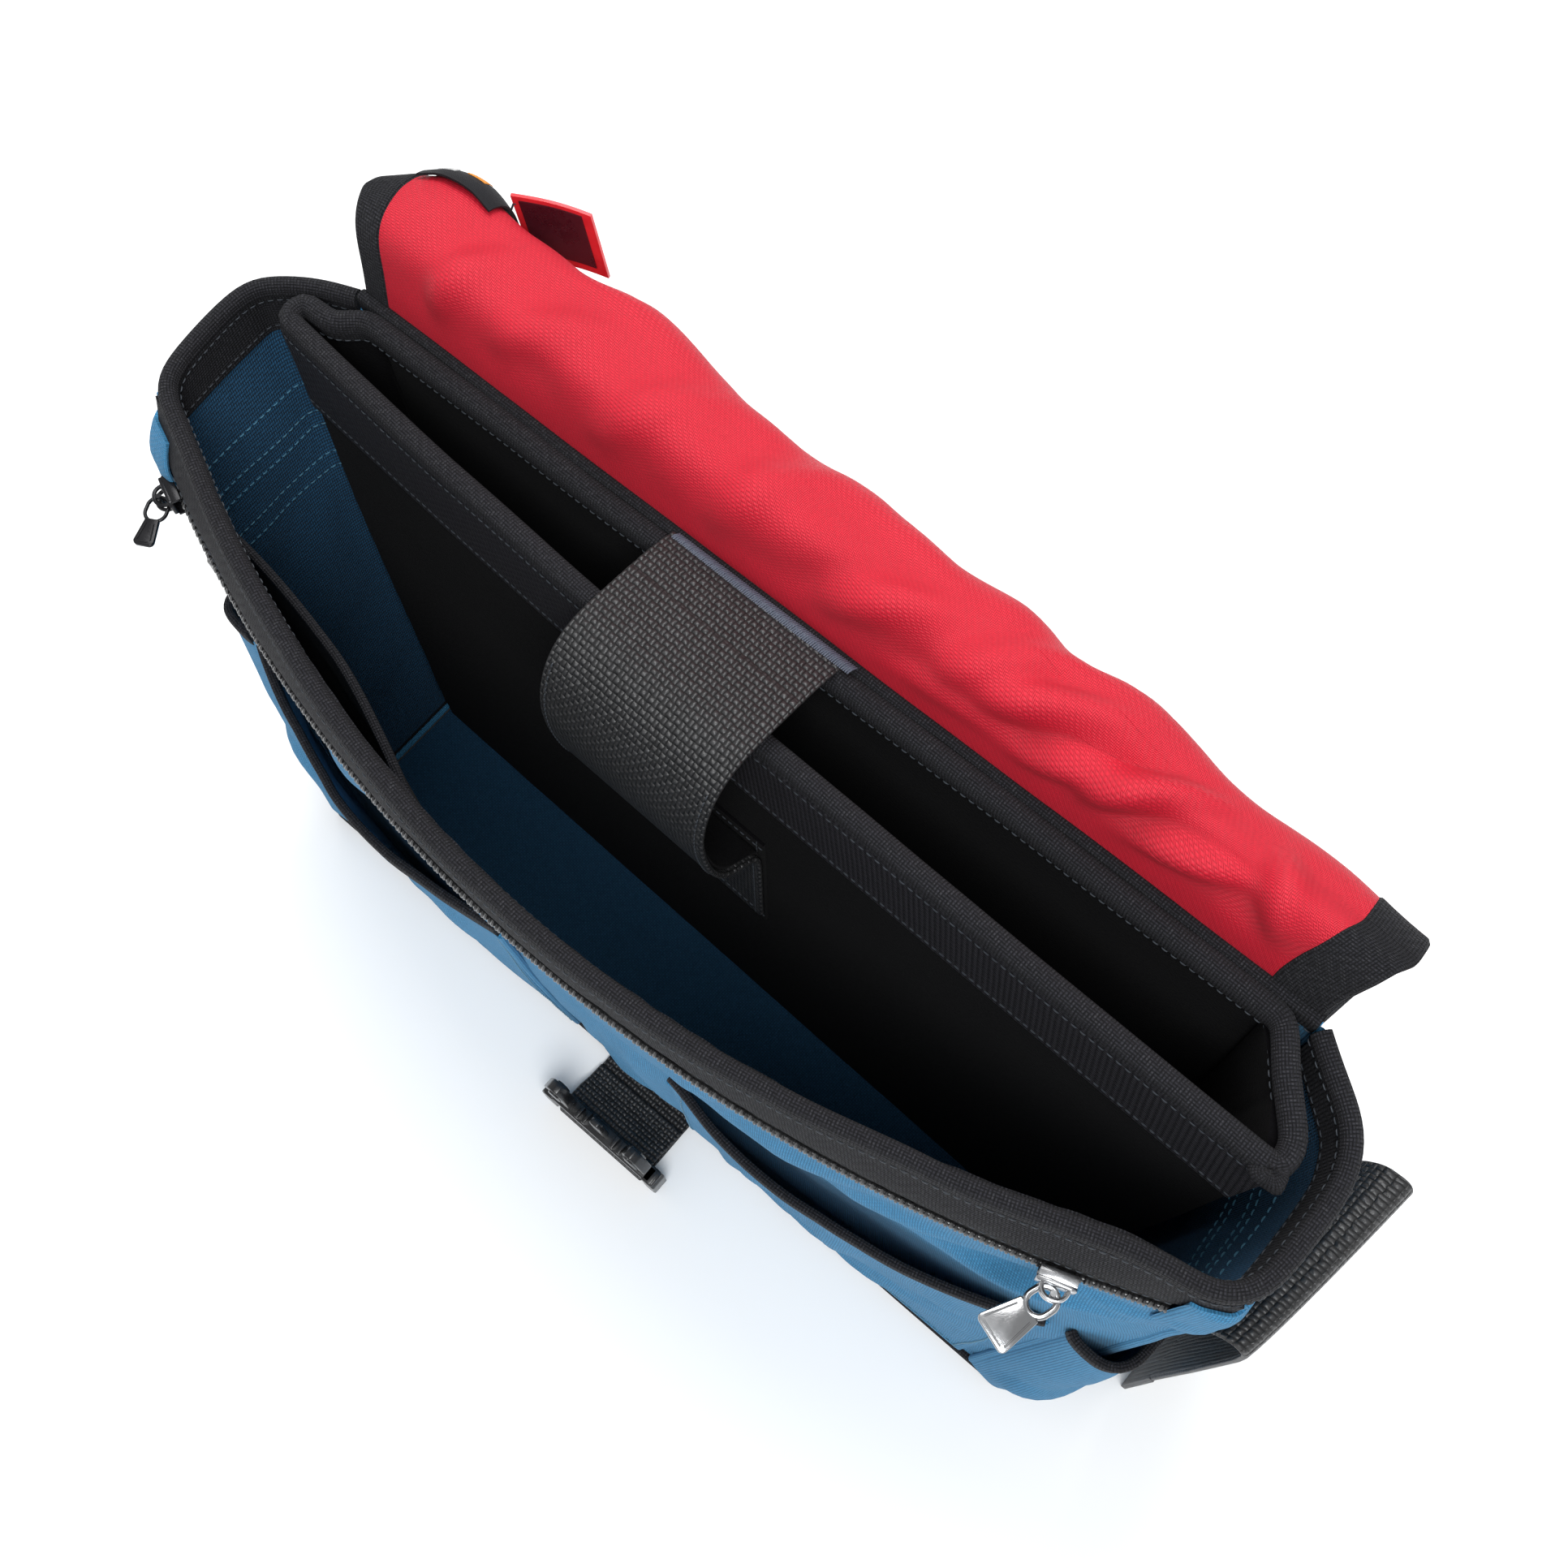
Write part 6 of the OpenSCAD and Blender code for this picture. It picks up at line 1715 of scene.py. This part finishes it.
for sign, side in ((1, "right"), (-1, "left")):
    yc = (STRAP_Y[0] + STRAP_Y[1]) / 2
    hz = [(0.2300, 0.1990), (0.2318, 0.2190), (0.2345, 0.2360), (0.2385, 0.2448), (0.2432, 0.2476),
          (0.2468, 0.2440),
          (STRAP_X + 0.0006, 0.2280), (STRAP_X + 0.0006, 0.150), (STRAP_X, 0.0762), (STRAP_X, 0.0700)]
    h = run_of(hz, 0.002, 0.0022)
    line = np.stack([sign * h[:, 0], np.full(len(h), yc), h[:, 1]], 1)
    ob = sweep(f"shoulder_webbing_{side}", line, wide_section(STRAP_W, STRAP_T, 18), (0, 1, 0), "web",
               sharp=60)
    co = np.zeros(len(ob.data.vertices) * 3)
    ob.data.vertices.foreach_get("co", co)
    co = co.reshape(-1, 3)
    across = np.clip((co[:, 1] - STRAP_Y[0]) / STRAP_W, 0, 1)
    flare = (0.011 if sign > 0 else 0.004) * across ** 0.8 * (fade(co[:, 2], 0.10, 0.235) if sign > 0
                                                              else fade(co[:, 2], 0.175, 0.235))
    co[:, 0] += sign * flare * np.where(np.abs(co[:, 0]) > 0.2425, 1.0, 0.75)
    ob.data.vertices.foreach_set("co", co.ravel())
    ob.data.update()
    put(ob, "bag", "webbing", f"strap_end_{side}")

alo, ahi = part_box("strap_adjuster")


def adjuster_parts():
    cy_, cz_ = (alo[1] + ahi[1]) / 2, alo[2]
    hw, hh = (ahi[1] - alo[1]) / 2, ahi[2] - alo[2]
    inside = hw - 0.005
    x0, x1 = alo[0], ahi[0]
    m = np.array([[0, 0, 1, x0], [1, 0, 0, cy_], [0, 1, 0, cz_], [0, 0, 0, 1]], float)
    parts, add = moulding(m, 0.0007)
    thick = x1 - x0
    for k in (1, -1):
        cheek = [(inside, 0.001), (hw - 0.0015, 0.0), (hw, 0.003), (hw, hh - 0.003), (hw - 0.0015, hh),
                 (inside, hh - 0.001)]
        add(mirrored(cheek, k), 0.0, thick)
    bars = [(z, 0.0, 0.0020) for z in (0.0, (hh - 0.005) / 2, hh - 0.005)]
    bars += [(z, thick - 0.0020, thick) for z in (0.0, hh - 0.005)]
    for z0, near, deep in bars:
        add([(-hw + 0.002, z0), (hw - 0.002, z0), (hw - 0.002, z0 + 0.005), (-hw + 0.002, z0 + 0.005)],
            near, deep, 0.0006)
    return parts


ob = joined("adjuster_body", adjuster_parts(), "plastic", 35)
put(ob, "adjuster", "buckle_plastic", "strap_adjuster")

# ---------------------------------------------------------------- pieces baked in place
a = turned(np.array([PIVOT_Y + 0.001]), np.array([0.2945]))[0]
b = turned(np.array([PIVOT_Y - 0.012]), np.array([0.2950]))[0]
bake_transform(grips[0])
a = turned(np.array([KNEE[0] + 0.012]), np.array([0.2975]))[0]
b = turned(np.array([KNEE[0] - 0.012]), np.array([0.2850]))[0]
for ob in (grips[1], grip_rows, hook):
    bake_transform(ob)
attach(grip_end, "grip_strap_tip")
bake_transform(strap_piece)

# ---------------------------------------------------------------- stage and light
bpy.ops.mesh.primitive_plane_add(size=12, location=(0, 0, -0.0005))
floor = bpy.context.object
floor.name = "floor"
net = Net("floor_paper")
place = net.n("ShaderNodeTexCoord").outputs["Object"]
s = net.n("ShaderNodeBsdfPrincipled")
net.put(s.inputs["Base Color"], net.mix(net.noise(place, 3.0), (0.93, 0.935, 0.94, 1),
                                        (0.95, 0.955, 0.96, 1)))
s.inputs["Roughness"].default_value = 0.9
s.inputs["Specular IOR Level"].default_value = 0.1
out = net.n("ShaderNodeOutputMaterial")
net.put(out.inputs[0], s.outputs[0])
floor.data.materials.append(net.mat)

world = bpy.data.worlds.new("studio")
world.use_nodes = True
bg = world.node_tree.nodes["Background"]
bg.inputs[0].default_value = (0.985, 0.99, 1.0, 1)
bg.inputs[1].default_value = 0.55
bpy.context.scene.world = world


def area_light(name, loc, target, size, power, colour=(1, 1, 1)):
    l = bpy.data.lights.new(name, "AREA")
    l.shape = "DISK"
    l.size = size
    l.energy = power
    l.color = colour
    o = bpy.data.objects.new(name, l)
    bpy.context.scene.collection.objects.link(o)
    o.location = loc
    o.rotation_mode = "QUATERNION"
    o.rotation_quaternion = (Vector(target) - Vector(loc)).to_track_quat("-Z", "Y")


area_light("key_light", (-0.50, 0.72, 1.75), (0, 0, 0.1), 1.3, 26, (1, 0.995, 0.98))
area_light("fill_light", (0.55, -0.50, 1.6), (0, 0, 0.1), 0.8, 19, (0.97, 0.99, 1))
bpy.context.scene.view_settings.view_transform = "Standard"
